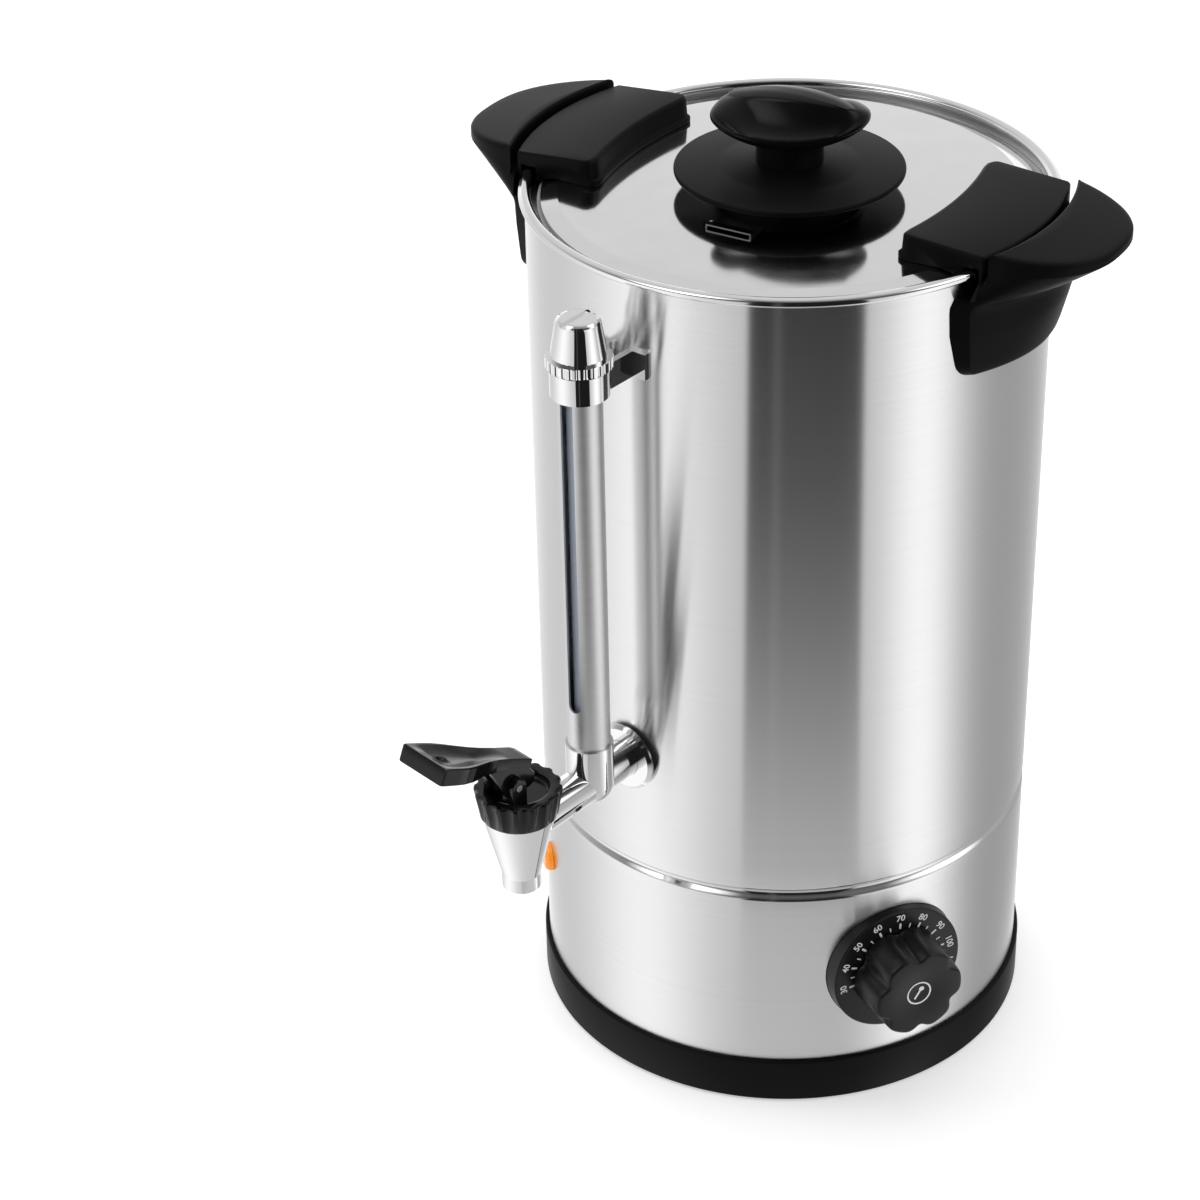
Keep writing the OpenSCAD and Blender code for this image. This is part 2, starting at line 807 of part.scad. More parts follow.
module valve_stem() color("silver") at_valve() difference() {
    rod(stem_r, valve_seat + 1.6, pivot_z + 3);
    translate([0, 0, pivot_z]) rotate([90, 0, 0]) cylinder(r = stem_pin_r, h = 3 * stem_r, center = true);
}

module stem_pin() color("silver") at_valve() translate([0, 0, pivot_z]) rotate([90, 0, 0])
    cylinder(r = stem_pin_r, h = 2 * hub_half - 1, center = true);

// Round wire swept up a helix, as rings joined by quads.
module tap_spring() color("silver") at_valve() {
    sides = 8;
    per_turn = 16;
    rings = spring_turns * per_turn;
    rise = spring_top - spring_bottom - 2 * spring_wire;
    points = [for (i = [0:rings], j = [0:sides - 1])
        let(a = 360 * i / per_turn, b = 360 * j / sides, r = spring_r + spring_wire * cos(b))
        [r * cos(a), r * sin(a), spring_bottom + spring_wire * (1 + sin(b)) + rise * i / rings]];
    sides_faces = [for (i = [0:rings - 1], j = [0:sides - 1])
        let(k = (j + 1) % sides) [i * sides + j, (i + 1) * sides + j, (i + 1) * sides + k, i * sides + k]];
    polyhedron(points, concat(
        sides_faces,
        [[for (j = [0:sides - 1]) j]],
        [[for (j = [sides - 1:-1:0]) rings * sides + j]]
    ), convexity = 10);
}

// Fluted nut with a dished top and two ears for the lever's pin.
module tap_bonnet() color("#1a1a1a") at_valve() difference() {
    union() {
        translate([0, 0, bonnet_bottom])
            cylinder(r1 = bonnet_foot_r, r2 = bonnet_r, h = bonnet_top - bonnet_bottom);
        for (side = [-1, 1]) translate([0, side * (ear_in + ear_out) / 2, 0]) {
            translate([pivot, 0, pivot_z]) rotate([90, 0, 0]) cylinder(r = 4, h = 3, center = true);
            translate([pivot - 4, -1.5, bonnet_floor + 1]) cube([8, 3, pivot_z - bonnet_floor - 1]);
        }
    }
    for (i = [0:flute_count - 1]) rotate([0, 0, 360 * (i + 0.5) / flute_count]) link(
        [bonnet_foot_r + flute_out, 0, bonnet_bottom - cut], [bonnet_r + flute_out, 0, bonnet_top + cut], flute_r
    );
    rod(chamber_r + run, bonnet_bottom - cut, bonnet_floor);
    rod(stem_r + turn_gap, bonnet_floor - cut, bonnet_top);
    difference() {
        rod(bonnet_dish, bonnet_floor + 1.6, bonnet_top + cut);
        for (side = [-1, 1]) translate([pivot - 4, side * (ear_in + ear_out) / 2 - 1.5, bonnet_floor])
            cube([8, 3, pivot_z - bonnet_floor]);
    }
    translate([pivot, 0, pivot_z]) rotate([90, 0, 0])
        cylinder(r = pin_r + run, h = 4 * ear_out, center = true);
}

// A point of the lever's own tilted frame, as seen from the side.
function tilt(x, z) =
    [x * cos(lever_rise) - z * sin(lever_rise), x * sin(lever_rise) + z * cos(lever_rise)];

// Lever: a slotted hub on the pin and a paddle that rises outward and widens.
module tap_lever() color("#1a1a1a") at_valve() translate([pivot, 0, pivot_z]) difference() {
    union() {
        rotate([90, 0, 0]) linear_extrude(2 * hub_half, center = true) polygon(concat(
            arc(-pivot - 0.6, -0.2, 4.2, 160, 265, 6),
            arc(0, 0, hub_r, 280, 350, 6),
            [tilt(16, lever_top - lever_thick + 1), tilt(14, lever_top - 3), tilt(-5, lever_top - 3)]
        ));
        rotate([0, -lever_rise, 0]) translate([0, 0, lever_top - lever_thick]) linear_extrude(lever_thick)
            polygon([
                [-7.3, -hub_half], [10, -8],
                [lever_length - 12, -lever_width / 2], [lever_length, -lever_width / 2],
                [lever_length, lever_width / 2], [lever_length - 12, lever_width / 2],
                [10, 8], [-7.3, hub_half]
            ]);
    }
    rotate([90, 0, 0]) cylinder(r = pin_r + run, h = 4 * hub_half, center = true);
    translate([-12.5, -stem_r - 0.6, -12]) cube([15, 2 * stem_r + 1.2, 18]);
    rotate([90, 0, 0]) linear_extrude(4 * hub_half, center = true) polygon(concat(
        arc(-pivot + 0.1, 0.1, stem_pin_r + 0.4, -60, 120, 16),
        arc(-pivot - 0.9, -0.5, stem_pin_r + 0.4, 120, 300, 16)
    ));
}

module lever_pin() color("silver") at_valve() translate([pivot, 0, pivot_z]) rotate([90, 0, 0])
    cylinder(r = pin_r, h = 2 * ear_out, center = true);

// ---- sight gauge ----

module at_gauge() facing(0) translate([gauge_x, 0, 0]) children();

module gauge_glass() color("lightblue") at_gauge()
    ring(glass_r, glass_r - glass_wall, glass_bottom, glass_top);

module gauge_lower_seal() color("dimgray") at_gauge()
    ring(glass_r + 1.6 - seat, glass_r + run, glass_bottom, glass_bottom + gauge_seal_height);

module gauge_upper_seal() color("dimgray") at_gauge()
    ring(tube_r - tube_wall - seat, glass_r + run, glass_top - 1 - gauge_seal_height, glass_top - 1);

// Tube with a long slot at the front, round at both ends.
module gauge_shield() color("silver") at_gauge() difference() {
    ring(tube_r, tube_r - tube_wall, tube_bottom + seat, tube_top);
    translate([0, 0, slot_bottom + gauge_slot / 2]) {
        translate([0, -gauge_slot / 2, 0])
            cube([tube_r + cut, gauge_slot, slot_top - slot_bottom - gauge_slot]);
        rotate([0, 90, 0]) cylinder(r = gauge_slot / 2, h = tube_r + cut);
        translate([0, 0, slot_top - slot_bottom - gauge_slot]) rotate([0, 90, 0])
            cylinder(r = gauge_slot / 2, h = tube_r + cut);
    }
}

// Clip round the tube, with two arms and welded feet that follow the wall.
module gauge_bracket() color("silver") union() {
    at_gauge() ring(bracket_r, tube_r + seat, bracket_bottom, bracket_top);
    difference() {
        facing(0) translate([0, 0, bracket_bottom]) for (side = [-1, 1]) {
            translate([body_r - 2, side > 0 ? arm_in : -arm_out, 0])
                cube([gauge_reach + 2 - tube_r - 1, arm_out - arm_in, bracket_height]);
            translate([body_r - 3, side > 0 ? arm_in : -foot_half, 0])
                cube([3 + bracket_sheet, foot_half - arm_in, bracket_height]);
        }
        wall_round(body_r + seat / 2, bracket_bottom - cut, bracket_top + cut);
    }
}

// Screw cap: knurled ring, tapered dome with a slot and a spigot in the clip.
module gauge_cap() color("silver") at_gauge() difference() {
    union() {
        rod(cap_r, cap_ring_bottom, cap_ring_top);
        rotate_extrude() polygon(concat(
            [[0, cap_ring_top - cut], [cap_base_r, cap_ring_top - cut], [cap_base_r, cap_ring_top + 1]],
            arc(cap_tip_r - 3, cap_top - 3, 3, 10, 90, 5),
            [[0, cap_top]]
        ));
        rod(tube_r - tube_wall - seat, glass_top + 0.3, cap_ring_top);
        ring(bracket_r - 0.8, tube_r + 0.6, bracket_top + 0.2, cap_ring_top);
    }
    for (i = [0:knurl_count - 1]) rotate([0, 0, 360 * i / knurl_count])
        translate([cap_r + 0.5, 0, 0]) rod(1.1, cap_ring_bottom - cut, cap_ring_top + cut);
    translate([-cap_r, -cap_slot / 2, cap_top - 2]) cube([2 * cap_r, cap_slot, 4]);
}

// ---- lid ----

module lid_gasket() color("dimgray") ring(gasket_out_r, gasket_in_r, gasket_bottom, gasket_top);

// Section of the louvre's hood, from its back edge to its open front.
function louvre_wedge(inset) = [
    [louvre_back + 2 * inset, -lid_sheet - cut * (inset > 0 ? 1 : 0)],
    [louvre_front + (inset > 0 ? cut : 0), -lid_sheet - cut * (inset > 0 ? 1 : 0)],
    [louvre_front + (inset > 0 ? cut : 0), louvre_rise - inset],
    [louvre_front - 3, louvre_rise - inset],
    [louvre_back + 2 * inset, 0]
];

module louvre(inset) facing(louvre_azimuth) translate([0, 0, lid_top]) rotate([90, 0, 0])
    linear_extrude(louvre_width - 2 * inset, center = true) polygon(louvre_wedge(inset));

module lid_pan() color("silver") difference() {
    union() {
        rotate_extrude() polygon([
            [0, lid_under],
            [lid_flat_r, lid_under],
            [lid_r - lid_sheet, lid_shoulder_z - lid_sheet],
            [lid_r - lid_sheet, lid_edge_z],
            [lid_r, lid_edge_z],
            [lid_r, lid_shoulder_z],
            [lid_flat_r, lid_top],
            [0, lid_top]
        ]);
        louvre(0);
    }
    louvre(louvre_sheet);
    rod(knob_screw_r + seat, lid_under - cut, lid_top + cut);
    for (azimuth = handle_azimuths, side = [-1, 1])
        facing(azimuth + side * rivet_spread) translate([rivet_ring_r, 0, 0])
            rod(rivet_r + seat, lid_under - cut, lid_top + cut);
}

// Collar and wide heat shield disc under the grip.
module knob_shield() color("#1a1a1a") difference() {
    rotate_extrude() polygon([
        [0, lid_top],
        [collar_r, lid_top],
        [collar_r + 0.8, shield_z - 1],
        [shield_r - 1.5, shield_z],
        [shield_r, shield_z + 1],
        [shield_r - 0.6, shield_z + shield_edge - 0.6],
        [shield_r - 3, shield_z + shield_edge],
        [neck_r, neck_bottom],
        [0, neck_bottom]
    ]);
    rod(knob_screw_r + seat, lid_top - cut, neck_bottom + cut);
}

// An oval with a length along the handles' line.
module oval(length, width) scale([length / 2, width / 2]) circle(r = 1, $fn = 64);

// Neck and an oval grip with raised ends and a ridge set across its top.
module knob_grip() color("#1a1a1a") facing(90 + knob_turn) difference() {
    union() {
        rod(neck_r, neck_bottom, grip_bottom + 2);
        hull() {
            translate([0, 0, grip_bottom]) linear_extrude(1) oval(grip_length - 26, grip_width - 7);
            translate([0, 0, grip_bottom + 2]) linear_extrude(2.5) oval(grip_length - 10, grip_width);
            translate([0, 0, grip_bottom + 5]) linear_extrude(3) oval(grip_length, grip_width - 5);
            rotate([0, 0, -ridge_turn]) {
                translate([0, 0, grip_top - 5]) linear_extrude(2) oval(grip_length - 24, 12);
                translate([0, 0, grip_top - 1]) linear_extrude(1) oval(grip_length - 46, 5);
            }
        }
    }
    rod(knob_screw_r + run, neck_bottom - cut, knob_screw_end + 1);
}

module knob_screw() color("silver") union() {
    rod(knob_screw_r, lid_under - cut, knob_screw_end);
    rod(knob_screw_head_r + 3, lid_under - washer_thick, lid_under);
    rod(knob_screw_head_r, lid_under - washer_thick - knob_screw_head, lid_under - washer_thick);
}

// Moulded grip over the rim: a slab between two arcs, with a tongue outside the bead.
module lid_grip(azimuth) color("#1a1a1a") facing(azimuth) difference() {
    intersection() {
        rotate_extrude() polygon([
            [tongue_out_r - lid_grip_depth - 12, lid_top],
            [lid_flat_r + 2, lid_top],
            [lid_r + turn_gap, lid_shoulder_z + turn_gap],
            [lid_r + turn_gap, lid_edge_z + 1],
            [bead_in_r - grip_clear, lid_edge_z + 1],
            [bead_in_r - grip_clear, rim_height + grip_clear],
            [tongue_in_r, rim_height + grip_clear],
            [tongue_in_r, tongue_bottom],
            [tongue_out_r, tongue_bottom],
            [tongue_out_r, lid_grip_top - lid_grip_fall - 1],
            [tongue_out_r - 1, lid_grip_top - lid_grip_fall],
            [tongue_out_r - lid_grip_depth - 12, lid_grip_top]
        ]);
        translate([0, 0, tongue_bottom - cut]) linear_extrude(lid_grip_top - tongue_bottom + 2 * cut)
            polygon(concat(
                [for (i = [-8:8]) let(v = i * (handle_half - 3) / 8)
                    [tongue_out_r - lid_grip_depth - lid_grip_bow * pow(v / handle_half, 2), v]],
                [[tongue_out_r - lid_grip_depth - lid_grip_bow + 3, handle_half - 1]],
                [[tongue_out_r, handle_half - 1], [tongue_out_r + 1, 0], [tongue_out_r, 1 - handle_half]],
                [[tongue_out_r - lid_grip_depth - lid_grip_bow + 3, 1 - handle_half]]
            ));
    }
    for (side = [-1, 1]) rotate([0, 0, side * rivet_spread]) translate([rivet_ring_r, 0, 0])
        rod(rivet_r + run, lid_top - cut, lid_top + rivet_depth + 0.5);
}

module lid_grip_right() lid_grip(handle_azimuths[0]);
module lid_grip_left() lid_grip(handle_azimuths[1]);

module lid_grip_rivets() color("silver")
    for (azimuth = handle_azimuths, side = [-1, 1])
        facing(azimuth + side * rivet_spread) translate([rivet_ring_r, 0, 0]) {
            rod(rivet_r, lid_under - cut / 2, lid_top + rivet_depth);
            rod(rivet_head_r, lid_under - rivet_head, lid_under);
        }

// ---- body handles ----

// How far the handle's front stands out at an offset from its middle. The power
// sets its shape: 1 is a shallow bow, and larger powers make a squarer end.
function front(offset, half, base, reach, power) =
    base + reach * pow(1 - pow(abs(offset) / half, power + 1), 1 / power);

// A level slab of the handle: from inside the wall to its bowed front.
module handle_slab(z, thick, wall_half, half, base, reach, power)
    translate([0, 0, z]) linear_extrude(thick) polygon(concat(
        [[chord(body_r, wall_half) - 2, wall_half], [chord(body_r, wall_half) - 2, -wall_half]],
        [for (i = [-9:9]) let(v = half * sin(10 * i)) [front(v, half, base, reach, power), v]]
    ));

// Skirt against the wall and a wing that reaches out above it.
module handle(azimuth) color("#1a1a1a") facing(azimuth) difference() {
    intersection() {
        union() {
            hull() {
                handle_slab(
                    handle_bottom, slab, handle_half + 3, handle_half + skirt_widen[0],
                    handle_chord + 3, skirt_reach[0], 1
                );
                handle_slab(
                    skirt_mid, slab, handle_half + 9, handle_half + skirt_widen[1],
                    handle_chord + 4, skirt_reach[1], 1
                );
                handle_slab(
                    skirt_top, slab, handle_half + 11, handle_half + skirt_widen[2],
                    handle_chord + 4, skirt_reach[2], 1
                );
            }
            hull() {
                handle_slab(
                    skirt_mid, slab, handle_half, handle_half, handle_chord + 4, skirt_reach[1], 1
                );
                handle_slab(
                    wing_under, handle_top - wing_under, handle_half, handle_half,
                    handle_chord + 6, handle_out_r - handle_chord - 6, wing_power
                );
            }
        }
        rotate_extrude() polygon([
            [0, handle_bottom - cut],
            [handle_out_r + 5, handle_bottom - cut],
            [handle_out_r + 5, handle_top - handle_fall],
            [handle_in_r, handle_top],
            [0, handle_top]
        ]);
    }
    wall_round(body_r + seat, handle_bottom - cut, relief_bottom + cut);
    rod(relief_r, relief_bottom, handle_top + cut);
    rod(handle_in_r, bead_bottom, handle_top + cut);
    for (side = [-1, 1]) rotate([0, 0, side * bolt_spread]) translate([0, 0, bolt_height]) rotate([0, 90, 0])
        rod(bolt_r + run, body_r - 5, body_r + bolt_depth + 0.5);
}

module handle_right() handle(handle_azimuths[0]);
module handle_left() handle(handle_azimuths[1]);

// Places children on every handle bolt's axis.
module at_bolts() for (azimuth = handle_azimuths, side = [-1, 1])
    radial(azimuth + side * bolt_spread, bolt_height) children();

module handle_bolts() color("silver") at_bolts() {
    rod(bolt_r, inner_r - 2, body_r + bolt_depth);
    rod(bolt_head_r, inner_r - 1.4 - bolt_head, inner_r - 1.4);
}

module handle_washers() color("dimgray") at_bolts()
    ring(bolt_head_r + 1.5, bolt_r + run, inner_r - 1.4, inner_r - 0.2);

// ---- assembly ----
body_shell();
lid_seat_ring();
tank_floor();
heat_plate();
heating_element();
tie_stud();
tie_nut();
base_ring();
base_plate();
feet();
foot_screws();
thermostat_body();
thermostat_spindle();
thermostat_screws();
sensor_bulb();
boil_dry_cutout();
reset_button();
terminal_block();
terminal_screws();
earth_screw();
cord_gland();
gland_nut();
dial_plate();
dial_knob();
lamp_lens();
lamp_body();
tap_flange();
tap_outer_seal();
tap_inner_seal();
tap_lock_nut();
tap_body();
valve_cup();
valve_stem();
stem_pin();
tap_spring();
tap_bonnet();
tap_lever();
lever_pin();
gauge_glass();
gauge_lower_seal();
gauge_upper_seal();
gauge_shield();
gauge_bracket();
gauge_cap();
lid_gasket();
lid_pan();
knob_shield();
knob_grip();
knob_screw();
lid_grip_right();
lid_grip_left();
lid_grip_rivets();
handle_right();
handle_left();
handle_bolts();
handle_washers();
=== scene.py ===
import bmesh
import bpy
import numpy as np
from mathutils import Matrix, Vector


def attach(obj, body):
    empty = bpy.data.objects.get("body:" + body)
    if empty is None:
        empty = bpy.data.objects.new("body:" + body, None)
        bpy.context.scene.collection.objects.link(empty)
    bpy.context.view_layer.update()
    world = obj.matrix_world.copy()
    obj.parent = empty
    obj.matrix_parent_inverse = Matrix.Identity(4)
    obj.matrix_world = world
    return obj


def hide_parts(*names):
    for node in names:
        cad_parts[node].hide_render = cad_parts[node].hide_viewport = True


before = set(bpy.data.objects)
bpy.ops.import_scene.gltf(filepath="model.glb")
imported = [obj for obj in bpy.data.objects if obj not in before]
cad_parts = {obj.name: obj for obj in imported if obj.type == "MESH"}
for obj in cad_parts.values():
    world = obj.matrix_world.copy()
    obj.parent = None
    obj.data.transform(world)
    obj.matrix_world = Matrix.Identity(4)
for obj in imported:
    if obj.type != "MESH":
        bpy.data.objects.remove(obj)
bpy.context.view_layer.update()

# ---- Studio ----
# A pale seamless floor with soft light from a wide overhead box and two side boxes.
# The camera looks down at the urn from its front right.
MM = 0.001
camera_azimuth = 37


class Value:
    """One number or colour of a material: arithmetic on it adds Math nodes."""

    def __init__(self, finish, socket):
        self.finish = finish
        self.socket = socket

    def _math(self, operation, *terms, clamp=False):
        made = self.finish.node("ShaderNodeMath", {"operation": operation, "use_clamp": clamp},
                                dict(enumerate(terms)))
        return made["Value"]

    def __add__(self, other):
        return self._math("ADD", self, other)

    __radd__ = __add__

    def __sub__(self, other):
        return self._math("SUBTRACT", self, other)

    def __rsub__(self, other):
        return self._math("SUBTRACT", other, self)

    def __mul__(self, other):
        return self._math("MULTIPLY", self, other)

    __rmul__ = __mul__

    def __truediv__(self, other):
        return self._math("DIVIDE", self, other)

    def __rtruediv__(self, other):
        return self._math("DIVIDE", other, self)

    def __pow__(self, other):
        return self._math("POWER", self, other)

    def __rpow__(self, other):
        return self._math("POWER", other, self)

    def cosine(self):
        """The cosine of an angle in radians."""
        return self._math("COSINE", self)

    def clamped(self):
        """The value held between 0 and 1."""
        return self._math("ADD", self, 0.0, clamp=True)

    def least(self, other):
        """The smaller of two values."""
        return self._math("MINIMUM", self, other)

    def most(self, other):
        """The larger of two values."""
        return self._math("MAXIMUM", self, other)


class Made:
    """A node that was added: its outputs are read by name, as values."""

    def __init__(self, finish, added):
        self.finish = finish
        self.added = added

    def __getitem__(self, name):
        return Value(self.finish, self.added.outputs[name])


class Finish:
    """A node tree with one method that adds a node of any type."""

    def __init__(self, tree):
        self.tree = tree
        tree.nodes.clear()

    def node(self, kind, settings=None, sockets=None):
        """Adds a node: its settings first, a ramp's stops among them, then its sockets."""
        added = self.tree.nodes.new(kind)
        for key, setting in (settings or {}).items():
            if key == "stops":
                ramp = added.color_ramp.elements
                while len(ramp) < len(setting):
                    ramp.new(0.5)
                for stop, (at, colour) in zip(ramp, setting):
                    stop.position = at
                    stop.color = (*colour, 1)
            else:
                setattr(added, key, setting)
        for key, value in (sockets or {}).items():
            if isinstance(value, Value):
                self.tree.links.new(value.socket, added.inputs[key])
            else:
                added.inputs[key].default_value = value
        return Made(self, added)

    def measure(self, operation, *vectors):
        """A number worked out from vectors: their dot product, or the length of one."""
        return self.node("ShaderNodeVectorMath", {"operation": operation}, dict(enumerate(vectors)))["Value"]

    def noise(self, scale, detail=3.0, roughness=0.55, place=None):
        """Noise on the piece's own coordinates, with a scale for each direction per metre."""
        if place is None:
            place = self.node("ShaderNodeTexCoord")["Object"]
        spread = self.node("ShaderNodeVectorMath", {"operation": "MULTIPLY"}, {0: place, 1: scale})
        return self.node("ShaderNodeTexNoise", {}, {
            "Vector": spread["Vector"], "Scale": 1.0, "Detail": detail, "Roughness": roughness,
        })["Fac"]

    def blend(self, mask, low, high):
        """A colour that goes from low to high as the mask goes from 0 to 1."""
        made = self.node("ShaderNodeMix", {"data_type": "RGBA"}, {})
        for index, value in ((0, mask), (6, low), (7, high)):
            socket = made.added.inputs[index]
            if isinstance(value, Value):
                self.tree.links.new(value.socket, socket)
            else:
                socket.default_value = value if index == 0 else (*value, 1)
        return Value(self, made.added.outputs[2])

    def eased(self, value, low, high, to_low=0.0, to_high=1.0):
        """A smooth step from to_low to to_high as the value goes from low to high."""
        return self.node("ShaderNodeMapRange", {"interpolation_type": "SMOOTHSTEP"}, {
            "Value": value, "From Min": low, "From Max": high, "To Min": to_low, "To Max": to_high,
        })["Result"]

    def bump(self, height, distance, strength=1.0):
        """A bump of a height from 0 to 1 over a distance in metres."""
        return self.node("ShaderNodeBump", {}, {
            "Height": height, "Distance": distance, "Strength": strength,
        })["Normal"]

    def white(self, kind, strength):
        """A white emission or background shader of a strength."""
        return self.node("ShaderNode" + kind, {}, {"Color": (1, 1, 1, 1), "Strength": strength})[kind]

    def mixed(self, share, first, second):
        """The first shader where the share is 0, the second where it is 1."""
        return self.node("ShaderNodeMixShader", {}, {0: share, 1: first, 2: second})["Shader"]

    def surface(self, **sockets):
        """The Principled shader on the material's output; underscores stand for spaces."""
        shader = self.node("ShaderNodeBsdfPrincipled", {}, {
            key.replace("_", " "): value for key, value in sockets.items()
        })
        self.node("ShaderNodeOutputMaterial", {}, {"Surface": shader["BSDF"]})


def new_finish(name):
    """An empty material and its node tree."""
    material = bpy.data.materials.new(name)
    material.use_nodes = True
    return material, Finish(material.node_tree)


def skin(name, points, faces, material):
    """A mesh object from points in millimetres and faces: doubles merged, faces turned outwards."""
    mesh = bpy.data.meshes.new(name)
    mesh.from_pydata((np.asarray(points, float).reshape(-1, 3) * MM).tolist(), [], faces)
    work = bmesh.new()
    work.from_mesh(mesh)
    bmesh.ops.remove_doubles(work, verts=work.verts, dist=2e-6)
    bmesh.ops.dissolve_degenerate(work, edges=work.edges, dist=1e-7)
    bmesh.ops.recalc_face_normals(work, faces=work.faces)
    work.to_mesh(mesh)
    work.free()
    mesh.shade_smooth()
    mesh.set_sharp_from_angle(angle=np.radians(32))
    piece = bpy.data.objects.new(name, mesh)
    piece.data.materials.append(material)
    bpy.context.scene.collection.objects.link(piece)
    return piece


def bearing(finish, place, pull=0.0):
    """The angle round the urn from the camera's side, in radians, held between -pi and pi.

    With pull, the angle a near the urn is divided by 1 - pull / distance squared, so that
    the soft boxes painted on the floor look upright in the curved wall.
    """
    front = np.radians(camera_azimuth)
    sideways = (np.cos(front), np.sin(front), 0)
    outward = (np.sin(front), -np.cos(front), 0)
    turned_to = [finish.measure("DOT_PRODUCT", place, axis) for axis in (sideways, outward)]
    angle = finish.node("ShaderNodeMath", {"operation": "ARCTAN2"}, dict(enumerate(turned_to)))["Value"]
    if pull:
        reach = finish.measure("LENGTH", place)
        angle = angle / (1.0 - (pull / (reach * reach)).least(0.5))
    return angle.least(np.pi).most(-np.pi)


def room(angle):
    """What metal sees low in the room at a bearing: a painted reflection of a grey sweep with soft boxes
    round it.

    Each box is a bell over the angle from its azimuth, e to the power k (cos angle - 1).
    """
    light = sweep_light
    for azimuth, strength, narrow in painted_soft_boxes:
        apart = (angle - float(np.radians(azimuth - camera_azimuth))).cosine()
        light = float(np.exp(narrow)) ** (apart - 1.0) * strength + light
    return light


def flagged(angle):
    """Is 1 inside the azimuths of the painted black flag, a painted dark reflection in front of the urn, 0
    outside.
    """
    first, last, slit_at = [
        float(np.radians(azimuth - camera_azimuth)) for azimuth in (flag_from, flag_to, flag_slit)
    ]
    inside = ((angle - first) / flag_edge).clamped() * ((last - angle) / flag_edge).clamped()
    slit = ((angle - slit_at) * slit_narrow) ** 2.0
    return inside * (1.0 - (1.0 - slit).clamped() * slit_light)


# The soft boxes and the black flag are painted reflections: only glossy rays see them, on the floor and in
# the world, and no flag stands in the scene.
sweep_light = 0.36
painted_soft_boxes = (  # azimuth, strength, narrowness
    (-142, 0.84, 6.0), (-115, 0.20, 8.0), (-72, 0.22, 7.0),
    (-24, 0.68, 6.0), (45, 0.20, 4.0), (97, 0.72, 16.0),
)
flag_from, flag_to, flag_slit = 20.5, 69.0, 33.0
flag_near, flag_soft, flag_edge, flag_black = 240, 420, 0.02, 0.98
floor_pull = 0.0065
slit_narrow, slit_light = 24.0, 0.09
floor_size = 9000
material, finish = new_finish("studio_floor")
seen = finish.node("ShaderNodeLightPath")
place = finish.node("ShaderNodeTexCoord")["Object"]
reach = finish.measure("LENGTH", place)
far = finish.eased(reach, flag_near * MM, (flag_near + flag_soft) * MM)
angle = bearing(finish, place, floor_pull)
seen_low = room(angle) * (1.0 - flagged(angle) * far * flag_black)
paper = finish.node("ShaderNodeBsdfDiffuse", {}, {"Color": (0.86, 0.86, 0.86, 1)})
glow = finish.white("Emission", 0.42)
both = finish.node("ShaderNodeAddShader", {}, {0: paper["BSDF"], 1: glow})
clear = (seen["Is Camera Ray"] + seen["Is Transmission Ray"]).clamped()
lit = finish.mixed(clear, paper["BSDF"], both["Shader"])
# For glossy rays the floor is all emission: the painted soft boxes and the painted flag band that metal
# reflects.
lit = finish.mixed(seen["Is Glossy Ray"], lit, finish.white("Emission", seen_low))
finish.node("ShaderNodeOutputMaterial", {}, {"Surface": lit})
half = floor_size / 2
floor = skin("studio_floor", [(-half, -half, 0), (half, -half, 0), (half, half, 0), (-half, half, 0)],
             [(0, 1, 2, 3)], material)

world = bpy.data.worlds.new("studio_room")
bpy.context.scene.world = world
world.use_nodes = True
finish = Finish(world.node_tree)
seen = finish.node("ShaderNodeLightPath")
look = finish.node("ShaderNodeTexCoord")["Generated"]
height = finish.node("ShaderNodeSeparateXYZ", {}, {0: look})["Z"]
angle = bearing(finish, look)
flag = flagged(angle)
rising = finish.eased(height, flag * 0.4 + 0.2, flag * 0.45 + 0.45)
seen_low = room(angle) * (1.0 - flag * flag_black)
opposite = np.radians(camera_azimuth - 180)
level_part, rising_part = 0.857, 0.515
behind = finish.measure("DOT_PRODUCT", look, (
    np.sin(opposite) * level_part, -np.cos(opposite) * level_part, rising_part,
))
# Painted reflections for glossy rays: a ceiling brighter behind the urn, and two bright spots that give
# painted highlights on the black plastics.
ceiling = finish.eased(behind, -0.2, 1.0, 0.10, 0.68)
for azimuth, rise, strength in ((-20, 50, 2.0), (125, 42, 1.6)):
    a, e = np.radians(azimuth), np.radians(rise)
    toward = finish.measure("DOT_PRODUCT", look, (np.sin(a) * np.cos(e), -np.cos(a) * np.cos(e), np.sin(e)))
    ceiling = ceiling + ((toward - 0.93) * 16.0).clamped() * strength
seen_all = seen_low * (1.0 - rising) + rising * ceiling
clear = (seen["Is Camera Ray"] + seen["Is Transmission Ray"]).clamped()
lit = finish.mixed(clear, finish.white("Background", 0.55), finish.white("Background", 1.0))
lit = finish.mixed(seen["Is Glossy Ray"], lit, finish.white("Background", seen_all))
finish.node("ShaderNodeOutputWorld", {}, {"Surface": lit})

aim = Vector((0, 0, 0.22))
for name, place, size, watts in (
    ("box_overhead", (-0.35, 0.25, 1.75), 1.3, 12.0),
    ("box_left", (-1.35, -0.75, 0.95), 1.0, 7.5),
    ("box_right", (1.45, 0.25, 0.9), 0.8, 4.5),
):
    lamp = bpy.data.lights.new(name, "AREA")
    lamp.shape = "SQUARE"
    lamp.size = size
    lamp.energy = watts
    holder = bpy.data.objects.new(name, lamp)
    holder.location = place
    holder.rotation_euler = (aim - Vector(place)).to_track_quat("-Z", "Y").to_euler()
    holder.visible_glossy = False
    bpy.context.scene.collection.objects.link(holder)

